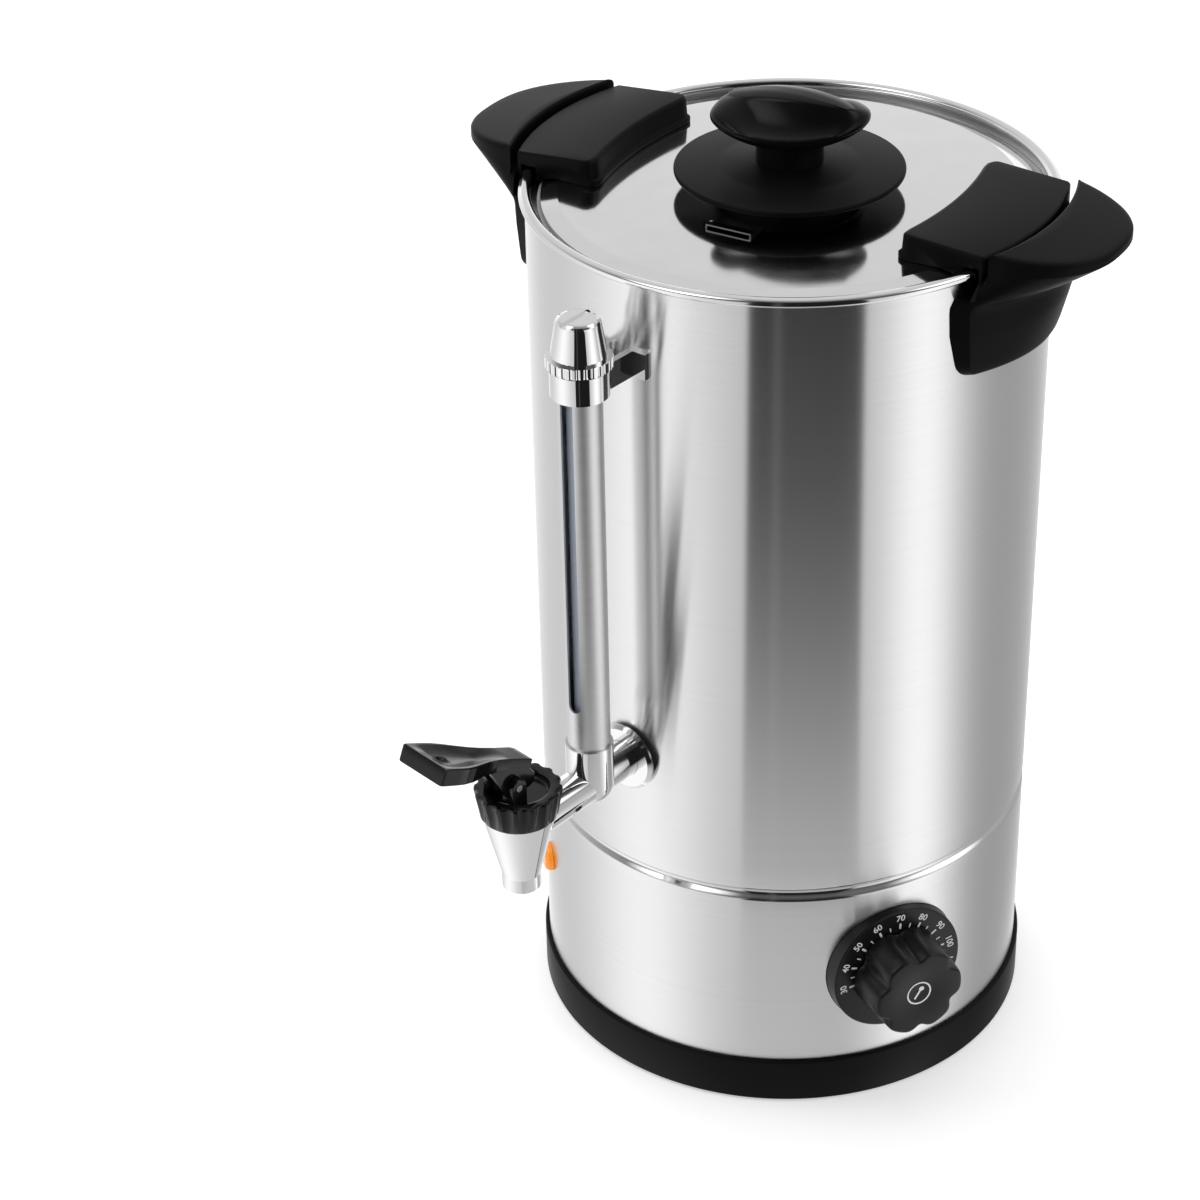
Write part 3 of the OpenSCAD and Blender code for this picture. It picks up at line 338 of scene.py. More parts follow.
camera = bpy.data.objects.new("camera", bpy.data.cameras.new("camera"))
camera.data.lens = 94.678
camera.data.sensor_width = 36
camera.data.clip_start = 0.05
camera.data.clip_end = 30
yaw, pitch, roll = -0.0685889, 0.5524815, -0.0239311
camera_back, camera_height = 1.22602, 0.95629
right = np.array([np.cos(yaw), -np.sin(yaw), 0])
ahead = np.array([np.sin(yaw) * np.cos(pitch), np.cos(yaw) * np.cos(pitch), -np.sin(pitch)])
up = np.cross(right, ahead)
right, up = right * np.cos(roll) + up * np.sin(roll), up * np.cos(roll) - right * np.sin(roll)
spin = Matrix.Rotation(np.radians(camera_azimuth), 4, "Z")
pose = Matrix(np.column_stack([right, up, -ahead]).tolist()).to_4x4()
pose.translation = Vector((0, -camera_back, camera_height))
camera.matrix_world = spin @ pose
bpy.context.scene.collection.objects.link(camera)
bpy.context.scene.camera = camera
bpy.context.scene.view_settings.view_transform = "Standard"

# ---- Tank wall ----
# Stainless sheet 0.8 mm thick, rolled to a tube and welded, with a groove rolled in
# above the base and its top edge curled outwards into a bead. Satin, with the grain
# running round it; the bead is polished.
wall_r, wall_in_r = 112.0, 111.2
wall_bottom, bead_bottom, rim_top = 9.3, 404.0, 407.5
bead_out_r, bead_in_r, bead_round = 114.5, 109.3, 1.2
groove_z, groove_width, groove_depth = 116.2, 7.5, 2.5
bead_corner, bead_lap = 2.2, 0.4


def rounded(corners, steps=5):
    """A closed outline whose corners (x, y, radius) are arcs that touch both sides."""
    c = np.asarray(corners, float)
    p, r = c[:, None, :2], c[:, None, 2:]
    back = np.roll(p, 1, 0) - p
    on = np.roll(p, -1, 0) - p
    back = back / np.linalg.norm(back, axis=-1, keepdims=True)
    on = on / np.linalg.norm(on, axis=-1, keepdims=True)
    half_angle = np.arccos(np.clip((back * on).sum(-1, keepdims=True), -0.99999, 0.99999)) / 2
    middle = back + on
    middle = middle / np.linalg.norm(middle, axis=-1, keepdims=True)
    centre = p + middle * r / np.sin(half_angle)
    first = p + back * r / np.tan(half_angle) - centre
    last_one = p + on * r / np.tan(half_angle) - centre
    sweep = np.pi - 2 * half_angle
    t = np.linspace(0, 1, steps + 1)[None, :, None]
    arc = centre + (np.sin((1 - t) * sweep) * first + np.sin(t * sweep) * last_one) / np.sin(sweep)
    return arc.reshape(-1, 2)


def grid_faces(rows, columns, wrap_rows=True, wrap_columns=True):
    """Quads between neighbouring points of a grid, joined round at its ends where it wraps."""
    i, j = np.meshgrid(np.arange(rows if wrap_rows else rows - 1),
                       np.arange(columns if wrap_columns else columns - 1), indexing="ij")
    k, m = (i + 1) % rows, (j + 1) % columns
    quads = np.stack([i * columns + j, k * columns + j, k * columns + m, i * columns + m], -1)
    return quads.reshape(-1, 4).tolist()


def around(sides):
    """Evenly spaced angles once round, in radians."""
    return np.linspace(0, 2 * np.pi, sides, endpoint=False)


def turned(name, profile, material, sides=180):
    """A closed profile of (radius, height) turned about the urn's axis."""
    a = around(sides)[:, None]
    profile = np.asarray(profile, float)
    r, z = profile[None, :, 0], profile[None, :, 1] + 0 * a
    points = np.stack([r * np.cos(a), r * np.sin(a), z], -1)
    return skin(name, points, grid_faces(sides, profile.shape[0]), material)


def wall_face(r):
    """The wall's face at a radius from its foot to the bead, with one wave of a cosine as its groove."""
    wave = np.linspace(-0.5, 0.5, 29)
    z = np.concatenate([
        [wall_bottom, 60.0, 105.0], groove_z + groove_width * wave, [130.0, 260.0, bead_bottom + bead_lap],
    ])
    inset = np.where(abs(z - groove_z) <= groove_width / 2,
                     groove_depth * (1 + np.cos(2 * np.pi * (z - groove_z) / groove_width)) / 2, 0)
    return np.column_stack([r - inset, z])


def grained(name, noise, low, high, roughness, bump, metallic=1.0, **more):
    """A material of one noise, which moves its colour from low to high; more holds other sockets.

    Roughness is its least value and what the noise adds; bump is its height and strength.
    """
    material, finish = new_finish(name)
    grain = finish.noise(*noise)
    finish.surface(
        Base_Color=finish.blend(grain, low, high), Metallic=metallic,
        Roughness=roughness[0] + grain * roughness[1], Normal=finish.bump(grain, *bump), **more,
    )
    return material


material, finish = new_finish("satin_steel")
height = finish.node("ShaderNodeSeparateXYZ", {}, {0: finish.node("ShaderNodeTexCoord")["Object"]})["Z"]
rolled = (1.0 - ((height - groove_z * MM) * 230.0) ** 2.0).clamped()
hair = finish.noise((14, 14, 5200), 4, 0.62)
long_hair = finish.noise((5, 5, 1500), 2, 0.5)
cloud = finish.noise((9, 9, 9), 2, 0.5)
colour = finish.blend((hair * 0.6 + long_hair * 0.4), (0.80, 0.798, 0.80), (0.90, 0.90, 0.905))
finish.surface(
    Base_Color=colour, Metallic=1.0, Roughness=0.17 + hair * 0.05 + cloud * 0.03 - rolled * 0.09,
    Anisotropic=1.0, Anisotropic_Rotation=0.25,
    Normal=finish.bump(hair * 0.5 + long_hair * 0.5, 0.00001, 0.35),
)
satin_steel = material

polished_steel = grained("polished_bead", ((60, 60, 500), 3, 0.6), (0.84, 0.84, 0.845), (0.92, 0.92, 0.92),
                         roughness=(0.06, 0.06), bump=(0.00002, 0.15))
outer = wall_face(wall_r)
inner = wall_face(wall_in_r)[::-1]
wall = turned("tank_wall", np.concatenate([outer, inner]), satin_steel, 360)
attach(wall, "urn")
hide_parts("body_shell")
bead = turned("rim_bead", rounded([
    (bead_out_r, bead_bottom, bead_round), (bead_out_r, rim_top, bead_corner),
    (bead_in_r, rim_top, bead_corner), (bead_in_r, bead_bottom, bead_round),
], 10), polished_steel, 360)
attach(bead, "urn")
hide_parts("body_shell")

# ---- Seat ring, tank floor, heat plate and element ----
# Pressed and spun steel welded inside the tank; an aluminium plate soldered under the
# floor spreads the heat of a sheathed element that is clamped to it.


def dress(material, *nodes):
    """Gives CAD nodes a material in every slot of theirs."""
    for node in nodes:
        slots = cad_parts[node].data.materials
        slots.clear()
        slots.append(material)


material, finish = new_finish("spun_steel")
place = finish.node("ShaderNodeTexCoord")["Object"]
flat = finish.node("ShaderNodeVectorMath", {"operation": "MULTIPLY"}, {0: place, 1: (1, 1, 0)})
away = finish.measure("LENGTH", flat["Vector"])
rings = finish.node("ShaderNodeTexNoise", {"noise_dimensions": "1D"}, {
    "W": away, "Scale": 2600.0, "Detail": 3.0,
})["Fac"]
cloud = finish.noise((22, 22, 22), 3, 0.6)
finish.surface(
    Base_Color=finish.blend(cloud, (0.66, 0.66, 0.665), (0.78, 0.78, 0.785)), Metallic=1.0,
    Roughness=0.24 + rings * 0.12, Normal=finish.bump(rings, 0.00002, 0.4),
)
dress(material, "tank_floor", "lid_seat_ring", "base_plate")

material = grained("rolled_aluminium", ((40, 2600, 40), 3, 0.6), (0.70, 0.70, 0.71), (0.82, 0.82, 0.83),
                   roughness=(0.34, 0.12), bump=(0.00002, 0.3))
dress(material, "heat_plate")
material = grained("heated_sheath", ((90, 90, 90), 4, 0.6), (0.20, 0.17, 0.15), (0.46, 0.40, 0.34),
                   roughness=(0.42, 0.2), bump=(0.00005, 0.3), metallic=0.9)
dress(material, "heating_element")

material, finish = new_finish("zinc_steel")
crystal = finish.node("ShaderNodeTexVoronoi", {}, {
    "Vector": finish.node("ShaderNodeTexCoord")["Object"], "Scale": 900.0,
})["Distance"]
finish.surface(
    Base_Color=finish.blend(crystal.clamped(), (0.60, 0.61, 0.63), (0.76, 0.76, 0.78)), Metallic=1.0,
    Roughness=0.30 + crystal.clamped() * 0.12, Normal=finish.bump(crystal, 0.00003, 0.2),
)
dress(material, "tie_stud", "tie_nut", "foot_screws", "thermostat_screws", "tap_lock_nut",
      "handle_bolts", "knob_screw", "lid_grip_rivets", "thermostat_spindle", "valve_stem", "stem_pin",
      "lever_pin", "tap_spring")

# ---- Base ring ----
# Black polypropylene moulding that closes the foot of the tank. Its channel takes the
# tank's edge, and a ledge inside carries the base plate. Fine spark-eroded grain.
base_r, base_bottom, base_top = 114.0, 1.0, 23.3
slot_out_r, slot_in_r, slot_floor = 112.3, 110.9, 9.0
ledge_in_r, ledge_out_r, ledge_low, ledge_high, ring_top_in = 98.0, 108.5, 5.0, 8.0, 15.0


def moulded(name, base, roughness, shine=0.06, grain=2600.0, height=0.00002):
    """A moulded plastic: a colour, its roughness and shine, a fine eroded grain and faint flow marks."""
    material, finish = new_finish(name)
    fine = finish.noise((grain, grain, grain), 2, 0.5)
    flow = finish.noise((28, 28, 60), 3, 0.55)
    dark = tuple(0.8 * c for c in base)
    light = tuple(1.25 * c for c in base)
    finish.surface(
        Base_Color=finish.blend(flow, dark, light),
        Roughness=roughness - 0.03 + fine * 0.05 + flow * 0.05,
        Normal=finish.bump(fine, height, 0.5), Specular_IOR_Level=shine,
    )
    return material


satin_black = moulded("satin_black_plastic", (0.004, 0.004, 0.0041), 0.36)
base_black = moulded("base_black_plastic", (0.004, 0.004, 0.0041), 0.42, 0.10)
ring = turned("base_ring", rounded([
    (slot_in_r, base_bottom, 0.3), (base_r, base_bottom, 1.2),
    (base_r, base_top, 1.3), (slot_out_r, base_top, 0.3),
    (slot_out_r, slot_floor, 0.2), (slot_in_r, slot_floor, 0.2),
    (slot_in_r, ring_top_in, 0.3), (ledge_out_r, ring_top_in, 0.5),
    (ledge_out_r, ledge_high, 0.5), (ledge_in_r, ledge_high, 0.4),
    (ledge_in_r, ledge_low, 0.4), (slot_in_r, ledge_low, 0.4),
], 4), base_black, 300)
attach(ring, "urn")
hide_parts("base_ring")

# ---- Feet ----
# Four turned rubber buttons, each with a recess for the screw that holds it and the
# base plate to the ring's ledge.
foot_r, foot_ring_r, foot_height = 6.0, 104.5, 5.0
bore_r, recess_r, recess_top = 2.1, 3.7, 2.4
foot_count, foot_sides = 4, 40
black_rubber = moulded("black_rubber", (0.018, 0.018, 0.018), 0.72, 0.2, 1800.0, 0.00004)
profile = rounded([
    (bore_r, recess_top, 0.1), (recess_r, recess_top, 0.2), (recess_r, 0.0, 0.5),
    (foot_r - 0.4, 0.0, 0.7), (foot_r, foot_height, 0.3), (bore_r, foot_height, 0.2),
], 4)
a = around(foot_sides)[None, :, None]
at = np.radians(45 + 90 * np.arange(foot_count))[:, None, None]
r, z = profile[None, None, :, 0], profile[None, None, :, 1] + 0 * a + 0 * at
points = np.stack([foot_ring_r * np.cos(at) + r * np.cos(a), foot_ring_r * np.sin(at) + r * np.sin(a), z], -1)
one = np.array(grid_faces(foot_sides, profile.shape[0]))
starts = np.arange(foot_count) * foot_sides * profile.shape[0]
faces = (one[None] + starts[:, None, None]).reshape(-1, 4).tolist()
feet = skin("rubber_feet", points, faces, black_rubber)
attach(feet, "urn")
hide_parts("feet")
dress(black_rubber, "tap_outer_seal", "tap_inner_seal", "gauge_lower_seal", "gauge_upper_seal", "valve_cup")

# ---- Controls inside the base ----
# Thermostat and dry-boil cut-out in steatite, a capillary with its copper bulb, a
# steatite terminal block with brass screws, and a red reset button.
material = grained("steatite", ((700, 700, 700), 4, 0.6), (0.72, 0.69, 0.62), (0.84, 0.82, 0.77),
                   roughness=(0.46, 0.15), bump=(0.00003, 0.4), metallic=0.0)
dress(material, "thermostat_body", "boil_dry_cutout", "terminal_block")
material = grained("drawn_copper", ((120, 120, 120), 4, 0.6), (0.70, 0.36, 0.22), (0.87, 0.53, 0.38),
                   roughness=(0.22, 0.2), bump=(0.00002, 0.2))
dress(material, "sensor_bulb")
material = grained("turned_brass", ((300, 300, 900), 3, 0.6), (0.68, 0.50, 0.22), (0.83, 0.66, 0.34),
                   roughness=(0.22, 0.15), bump=(0.00002, 0.2))
dress(material, "terminal_screws", "earth_screw")

red_plastic = moulded("red_plastic", (0.46, 0.02, 0.018), 0.36, 0.4)
dress(red_plastic, "reset_button")
dress(satin_black, "cord_gland", "gland_nut", "lamp_body")

# ---- Thermostat dial ----
# Black plate screwed over the thermostat's bush, its scale pad-printed in white, with
# numbers in tens of degrees. Its back follows the tank's curve.
dial_azimuth, dial_z = 64.0, 70.6
dial_r, dial_face, dial_round = 31.8, 115.6, 1.6
dial_bore_r, dial_gap, dial_sides = 4.9, 0.12, 128


def facing(points, azimuth):
    """Points with x outward and y sideways, turned about the urn's axis to an azimuth from the tap."""
    a = np.radians(azimuth)
    p = np.asarray(points, float)
    return np.stack([p[..., 0] * np.sin(a) + p[..., 1] * np.cos(a),
                     p[..., 1] * np.sin(a) - p[..., 0] * np.cos(a), p[..., 2]], -1)


def on_dial(points):
    """Points with x to the viewer's right, y up and z outward, put on the dial's axis."""
    p = np.asarray(points, float)
    return facing(np.stack([p[..., 2], p[..., 0], p[..., 1] + dial_z], -1), dial_azimuth)


a = around(dial_sides)[:, None]
edge = rounded([(dial_bore_r, 0, 0), (dial_r, 0, 0.2), (dial_r, 1, dial_round), (dial_bore_r, 1, 0)], 6)
lift = np.where(edge[:, 1] < 0.5, 0, 1)[None, :]
r = edge[None, :, 0]
x, y = r * np.cos(a), r * np.sin(a)
wall_back = np.sqrt((wall_r + dial_gap) ** 2 - x ** 2)
front = dial_face - (1 - edge[None, :, 1])
points = on_dial(np.stack([x, y, np.where(lift > 0, front, wall_back)], -1))
dial_black = moulded("dial_black", (0.008, 0.008, 0.008), 0.28, 0.3, 3200.0)
plate = skin("dial_plate", points, grid_faces(dial_sides, edge.shape[0]), dial_black)
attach(plate, "urn")
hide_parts("dial_plate")

white_ink = grained("white_ink", ((900, 900, 900), 3, 0.6), (0.74, 0.74, 0.74), (0.88, 0.88, 0.88),
                    roughness=(0.42, 0.1), bump=(0.00001, 0.3), metallic=0.0)
step, first_turn, mark_count = 25.0, 188, 17
ink_lift, number_r = 0.04, 27.0
turns = np.radians(first_turn - step / 2 * np.arange(mark_count))
bold = (np.arange(mark_count) % 2 == 0)
inner_end, outer_end = 21.4 + 0 * turns, np.where(bold, 24.3, 23.6)
wide = np.where(bold, 0.5, 0.32)
along = np.stack([np.cos(turns), np.sin(turns)], -1)
across = np.stack([-np.sin(turns), np.cos(turns)], -1)
near, out, aside = inner_end[:, None] * along, outer_end[:, None] * along, wide[:, None] * across
flat = np.stack([near - aside, out - aside, out + aside, near + aside], 1)
points = np.concatenate([flat, 0 * flat[..., :1] + dial_face + ink_lift], -1)
mark_faces = np.arange(4 * mark_count).reshape(mark_count, 4).tolist()
marks = skin("dial_marks", on_dial(points), mark_faces, white_ink)
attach(marks, "urn")

for number, turn_at in zip(range(30, 120, 10), turns[::2]):
    letters = bpy.data.curves.new("dial_%d" % number, "FONT")
    letters.body = str(number)
    letters.size = 4.5
    letters.offset = 0.07
    letters.align_x = "CENTER"
    letters.align_y = "CENTER"
    letters.resolution_u = 3
    written = bpy.data.objects.new("dial_%d_text" % number, letters)
    bpy.context.scene.collection.objects.link(written)
    bpy.context.view_layer.update()
    flat = bpy.data.meshes.new_from_object(written.evaluated_get(bpy.context.evaluated_depsgraph_get()))
    bpy.data.objects.remove(written)
    spots = np.zeros(len(flat.vertices) * 3)
    flat.vertices.foreach_get("co", spots)
    spots = spots.reshape(-1, 3)
    lean = turn_at - np.pi / 2
    x = spots[:, 0] * np.cos(lean) - spots[:, 1] * np.sin(lean) + number_r * np.cos(turn_at)
    y = spots[:, 0] * np.sin(lean) + spots[:, 1] * np.cos(lean) + number_r * np.sin(turn_at)
    points = on_dial(np.stack([x, y, 0 * x + dial_face + ink_lift], -1))
    figure = skin("dial_%d" % number, points, [list(f.vertices) for f in flat.polygons], white_ink)
    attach(figure, "urn")

# ---- Dial knob ----
# Black moulded knob with six finger scoops and a shallow dished face, pushed on the
# thermostat's spindle; a white thermometer mark is pad-printed on it.
knob_r, knob_back, knob_face = 22.5, 117.0, 137.0
lobes, lobe_turn, scoop = 6, 27.0, 3.2
knob_sides, knob_bore_r, knob_bore_depth = 180, 3.3, 14
dish_r, dish_deep = 16.5, 1.5


def dish_depth(r):
    """How far the knob's face lies back at a radius: a smooth step from its rim to its middle."""
    share = np.clip(1 - r / dish_r, 0, 1)
    return dish_deep * (3 * share ** 2 - 2 * share ** 3)


a = around(knob_sides)[None, :]
notch = ((1 - np.cos(lobes * (-a - np.radians(lobe_turn - 90)))) / 2) ** 3
side = np.array([(0.0, 0.0), (0.0, 0.4), (0.0, 3.0), (0.35, 8.0), (0.75, 14.0), (1.1, 18.2)])
level = np.linspace(0, 1, 7)
edge_in = 1.2 + 1.6 * (1 - np.cos(level * np.pi / 2))
edge_z = 18.4 + 1.6 * np.sin(level * np.pi / 2)
side = np.concatenate([side, np.column_stack([edge_in, edge_z])])
depth = np.concatenate([[0.9, 1.0, 1.0, 1.0, 1.0, 1.0], 1 + 0 * level])
r = knob_r - side[:, :1] - scoop * depth[:, None] * notch
z = knob_back + side[:, 1:2] + 0 * a
face_r = np.linspace(1, 0, 14)[1:, None]
fr = r[-1:] * face_r
fz = knob_face - dish_depth(fr)
r, z = np.concatenate([r, fr]), np.concatenate([z, fz])
points = np.stack([r * np.cos(a), r * np.sin(a), z], -1)
rows = r.shape[0]
bore_z = np.array([[knob_back + knob_bore_depth], [knob_back]]) + 0 * a
bore = np.stack([knob_bore_r * np.cos(a) + 0 * bore_z, knob_bore_r * np.sin(a) + 0 * bore_z, bore_z], -1)
points = np.concatenate([bore, points])
faces = grid_faces(rows + 2, knob_sides, wrap_rows=False) + [list(range(knob_sides))]
knob = skin("dial_knob", on_dial(points), faces, moulded("knob_black", (0.007, 0.007, 0.0072), 0.30, 0.3))
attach(knob, "dial")
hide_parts("dial_knob")

mark_r, mark_line, mark_lean = 6.0, 0.75, np.radians(-35)
bulb_r, bulb_y, stem_half, stem_end, mark_lift = 1.25, 2.3, 0.5, -3.6, 0.05
mark_sides = 64
a = around(mark_sides)
hoop = np.stack([np.concatenate([mark_r * np.cos(a), (mark_r - mark_line) * np.cos(a)]),
                 np.concatenate([mark_r * np.sin(a), (mark_r - mark_line) * np.sin(a)])], -1)
hoop_faces = [(i, (i + 1) % mark_sides, mark_sides + (i + 1) % mark_sides, mark_sides + i)
              for i in range(mark_sides)]
bulb_face = list(range(2 * mark_sides, 3 * mark_sides))
stem_face = list(range(3 * mark_sides, 3 * mark_sides + 4))
bulb = np.stack([bulb_r * np.cos(a), bulb_r * np.sin(a) + bulb_y], -1)
stem = np.array([(-stem_half, stem_end), (stem_half, stem_end), (stem_half, 1.6), (-stem_half, 1.6)])
drawn = np.concatenate([hoop, bulb, stem])
c, s = np.cos(mark_lean), np.sin(mark_lean)
drawn = np.stack([drawn[:, 0] * c - drawn[:, 1] * s, drawn[:, 0] * s + drawn[:, 1] * c], -1)
far = np.hypot(drawn[:, 0], drawn[:, 1])
points = np.column_stack([drawn, knob_face - dish_depth(far) + mark_lift])
mark = skin("knob_mark", on_dial(points), hoop_faces + [bulb_face, stem_face], white_ink)
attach(mark, "dial")

# ---- Pilot lamp ----
# Amber polycarbonate lens pressed into a black holder that clips in the wall, low down
# and on the other side of the tap from the dial.
lamp_azimuth, lamp_z, lens_r = -38.0, 75.0, 7.0
lens_back, lens_front, lens_sides = 112.1, 115.6, 64
material = grained("amber_lens", ((260, 260, 260), 2, 0.5), (0.86, 0.30, 0.02), (0.98, 0.46, 0.05),
                   roughness=(0.10, 0.06), bump=(0.00003, 0.2), metallic=0.0, Transmission_Weight=0.35,
                   IOR=1.55, Emission_Color=(1.0, 0.36, 0.02, 1), Emission_Strength=0.18)
dome = rounded([(lens_r, lens_back, 0), (lens_r, lens_front, 2.6), (0, lens_front, 0)], 8)[9:18]
profile = np.concatenate([[(0, lens_back), (lens_r, lens_back)], dome, [(3.0, 115.5), (0, lens_front)]])
a = around(lens_sides)[:, None]
rr, out = profile[None, :, 0], profile[None, :, 1] + 0 * a
points = facing(np.stack([out, rr * np.cos(a), lamp_z + rr * np.sin(a)], -1), lamp_azimuth)
lens = skin("lamp_lens", points, grid_faces(lens_sides, profile.shape[0]), material)
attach(lens, "urn")
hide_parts("lamp_lens")

# ---- Tap ----
# Chromed brass casting: a shank through the wall with its flange, a tee under the sight
# gauge, and an arm to the valve chamber and spout.
chrome = grained("chrome", ((35, 35, 35), 3, 0.55), (0.86, 0.86, 0.87), (0.95, 0.95, 0.955),
                 roughness=(0.025, 0.03), bump=(0.0001, 0.05))
dress(chrome, "tap_body", "tap_flange", "gauge_bracket", "gauge_cap")
gloss_black = moulded("gloss_black_plastic", (0.004, 0.004, 0.0041), 0.12, 0.34, 2600.0, 0.00001)

# ---- Tap bonnet ----
# Black moulded nut with sixteen flutes that closes the valve chamber. It widens upwards,
# and its top is dished round two ears that carry the lever's pin.
valve_x, lever_turn = 183.5, -7.0
pivot, pivot_z, ear_in, ear_out = 7.0, 203.8, 6.3, 9.3
bonnet_foot_r, bonnet_r, bonnet_bore_r = 16.6, 19.0, 12.8
bonnet_bottom, bonnet_top, bonnet_floor, bonnet_under = 183.8, 197.4, 193.9, 192.3
stem_hole_r = 2.4
flutes, flute_r, flute_deep = 16, 4.4, 1.1


def at_valve(points):
    """Points about the valve's axis, with x along the lever, turned and put on the valve."""
    p = np.asarray(points, float)
    c, s = np.cos(np.radians(lever_turn)), np.sin(np.radians(lever_turn))
    out, aside = p[..., 0] * c - p[..., 1] * s + valve_x, p[..., 0] * s + p[..., 1] * c
    return facing(np.stack([out, aside, p[..., 2]], -1), 0)


def together(*parts):
    """One list of points and one of faces from several pairs of them."""
    flat = [np.asarray(points, float).reshape(-1, 3) for points, _ in parts]
    starts = np.cumsum([0] + [points.shape[0] for points in flat])
    faces = [[int(i) + start for i in face] for (_, own), start in zip(parts, starts) for face in own]
    return np.concatenate(flat), faces


def prism(outline, low, high, edge=0.4):
    """A flat plate with a closed outline, between two distances along y, its edges eased."""
    ring = np.asarray(outline, float)
    middle = ring.mean(0)
    small = middle + (ring - middle) * (1 - edge / np.abs(ring - middle).max())
    rows = [(small, low), (ring, low + edge), (ring, high - edge), (small, high)]
    points = np.stack([np.column_stack([r[:, 0], 0 * r[:, 0] + y, r[:, 1]]) for r, y in rows])
    n = ring.shape[0]
    return points, grid_faces(4, n, wrap_rows=False) + [list(range(n)), list(range(3 * n, 4 * n))]


def fluted(r, a, deep):
    """The radius at an angle: r, or less where a round cutter has passed, deep in the face."""
    share = np.pi / flutes
    off = (a % (2 * share)) - share
    centre = r + flute_r - deep
    depth = np.sqrt(np.maximum(flute_r ** 2 - (centre * np.sin(off)) ** 2, 0))
    return np.where(depth > 0, np.minimum(r, centre * np.cos(off) - depth), r)


a = around(24 * flutes)[None, :]
edge = np.array([
    (1.0, 0.0), (0.3, 0.25), (0.0, 0.9), (0.0, 6.5), (0.0, 12.2), (0.15, 12.8), (0.5, 13.3), (1.1, 13.55),
    (1.7, 13.6),
])
face_r = bonnet_foot_r + (bonnet_r - bonnet_foot_r) * edge[:, 1:] / (bonnet_top - bonnet_bottom)
inside = np.array([
    (14.4, bonnet_top), (13.5, 197.1), (13.0, 196.3), (bonnet_bore_r, bonnet_floor + 0.6),
    (12.0, bonnet_floor), (stem_hole_r, bonnet_floor), (stem_hole_r, bonnet_under),
    (bonnet_bore_r, bonnet_under), (bonnet_bore_r, bonnet_bottom),
])
deep = flute_deep * np.clip(0.25 + edge[:, 1:] / 7, 0, 1)
r = np.concatenate([fluted(face_r, a, deep) - edge[:, :1], inside[:, :1] + 0 * a])
z = np.concatenate([bonnet_bottom + edge[:, 1:], inside[:, 1:]]) + 0 * a
points = np.stack([r * np.cos(a), r * np.sin(a), z], -1)
nut = (points, grid_faces(*r.shape))
ear = rounded([(pivot - 4, bonnet_floor - 0.9, 0.3), (pivot + 4, bonnet_floor - 0.9, 0.3),
               (pivot + 4, pivot_z + 4, 3.9), (pivot - 4, pivot_z + 4, 3.9)], 8)
ears = (prism(ear, ear_in, ear_out), prism(ear, -ear_out, -ear_in))
points, faces = together(nut, *ears)
bonnet = skin("tap_bonnet_nut", at_valve(points), faces, gloss_black)
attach(bonnet, "urn")
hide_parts("tap_bonnet")

# ---- Tap lever ----
# Glossy black moulded lever: two cheeks on the pin, and a dished thumb paddle that
# rises outward and ends in a square nose with a shallow dimple behind it.
lever_rise, lever_length, paddle_top, paddle_thick = 24.0, 51.0, 12.2, 7.8
hub_half, slot_half, hub_r, cheek_r = 6.0, 2.6, 6.0, 4.2
dimple_x, dimple_r, dimple_deep, dish_deepest = 40.5, 3.3, 1.2, 2.2


def tilted(x, z):
    """A point of the lever's own rising frame, as seen from its side."""
    c, s = np.cos(np.radians(lever_rise)), np.sin(np.radians(lever_rise))
    return x * c - z * s, x * s + z * c


x = np.concatenate([[-7.3, -6.2], np.linspace(-3, 46, 50), [48.0, 49.4, 50.3, 50.8, lever_length]])
half = np.interp(x, [-7.3, -6.2, 6, 14, 20, 26, 32, 37, 41, lever_length],
                 [5.0, 6.0, 6.0, 6.6, 7.8, 9.8, 12.0, 13.2, 13.5, 13.5])
half -= np.interp(x, [50.3, 50.8, lever_length], [0, 0.15, 0.5])
dished = dish_deepest * np.clip((x - 6) / 16, 0, 1) * np.clip((50 - x) / 6, 0, 1)
rise = np.interp(x, [-7.3, -6.2, -3, 50.3, 50.8, lever_length], [1.1, 0.4, 0, 0, 0.15, 0.5])
floor_at = paddle_top - np.interp(x, [-7.3, 12, 30, 49, lever_length], [4.4, 5.6, 7.4, 7.8, 7.6])
across = np.linspace(-1, 1, 49)
edge = 0.5 * np.clip((np.abs(across) - 0.955) / 0.045, 0, 1) ** 2
far = ((x[:, None] - dimple_x) ** 2 + (half[:, None] * across) ** 2) / dimple_r ** 2
dimple = dimple_deep * np.clip(1 - far, 0, 1) ** 0.6
hollow = dished[:, None] * np.clip(1 - across ** 2 / 0.79, 0, 1) ** 1.2
top = paddle_top - rise[:, None] - edge - hollow - dimple
y = half[:, None] * (across + 0 * x[:, None])
under = floor_at[:, None] + 0.7 * edge + 0 * top
ring_x = np.concatenate([x[:, None] + 0 * y, x[:, None] + 0 * y], 1)
ring_y = np.concatenate([y, y[:, ::-1] * 0.985], 1)
ring_z = np.concatenate([top, under[:, ::-1]], 1)
px, pz = tilted(ring_x, ring_z)
count = ring_x.shape[1]
cap_low = [[i, i + 1, count - 2 - i, count - 1 - i] for i in range(across.size - 1)]
cap_high = [[(len(x) - 1) * count + i for i in face] for face in cap_low]
paddle_faces = grid_faces(len(x), count, wrap_rows=False) + cap_low + cap_high
paddle = (np.stack([px + pivot, ring_y, pz + pivot_z], -1), paddle_faces)
a1, a2 = np.radians(np.linspace(160, 265, 8)), np.radians(np.linspace(280, 350, 8))
cheek_top = paddle_top - 3.6
tips = np.array([tilted(16, paddle_top - paddle_thick + 1.2), tilted(14, cheek_top), tilted(-5, cheek_top)])
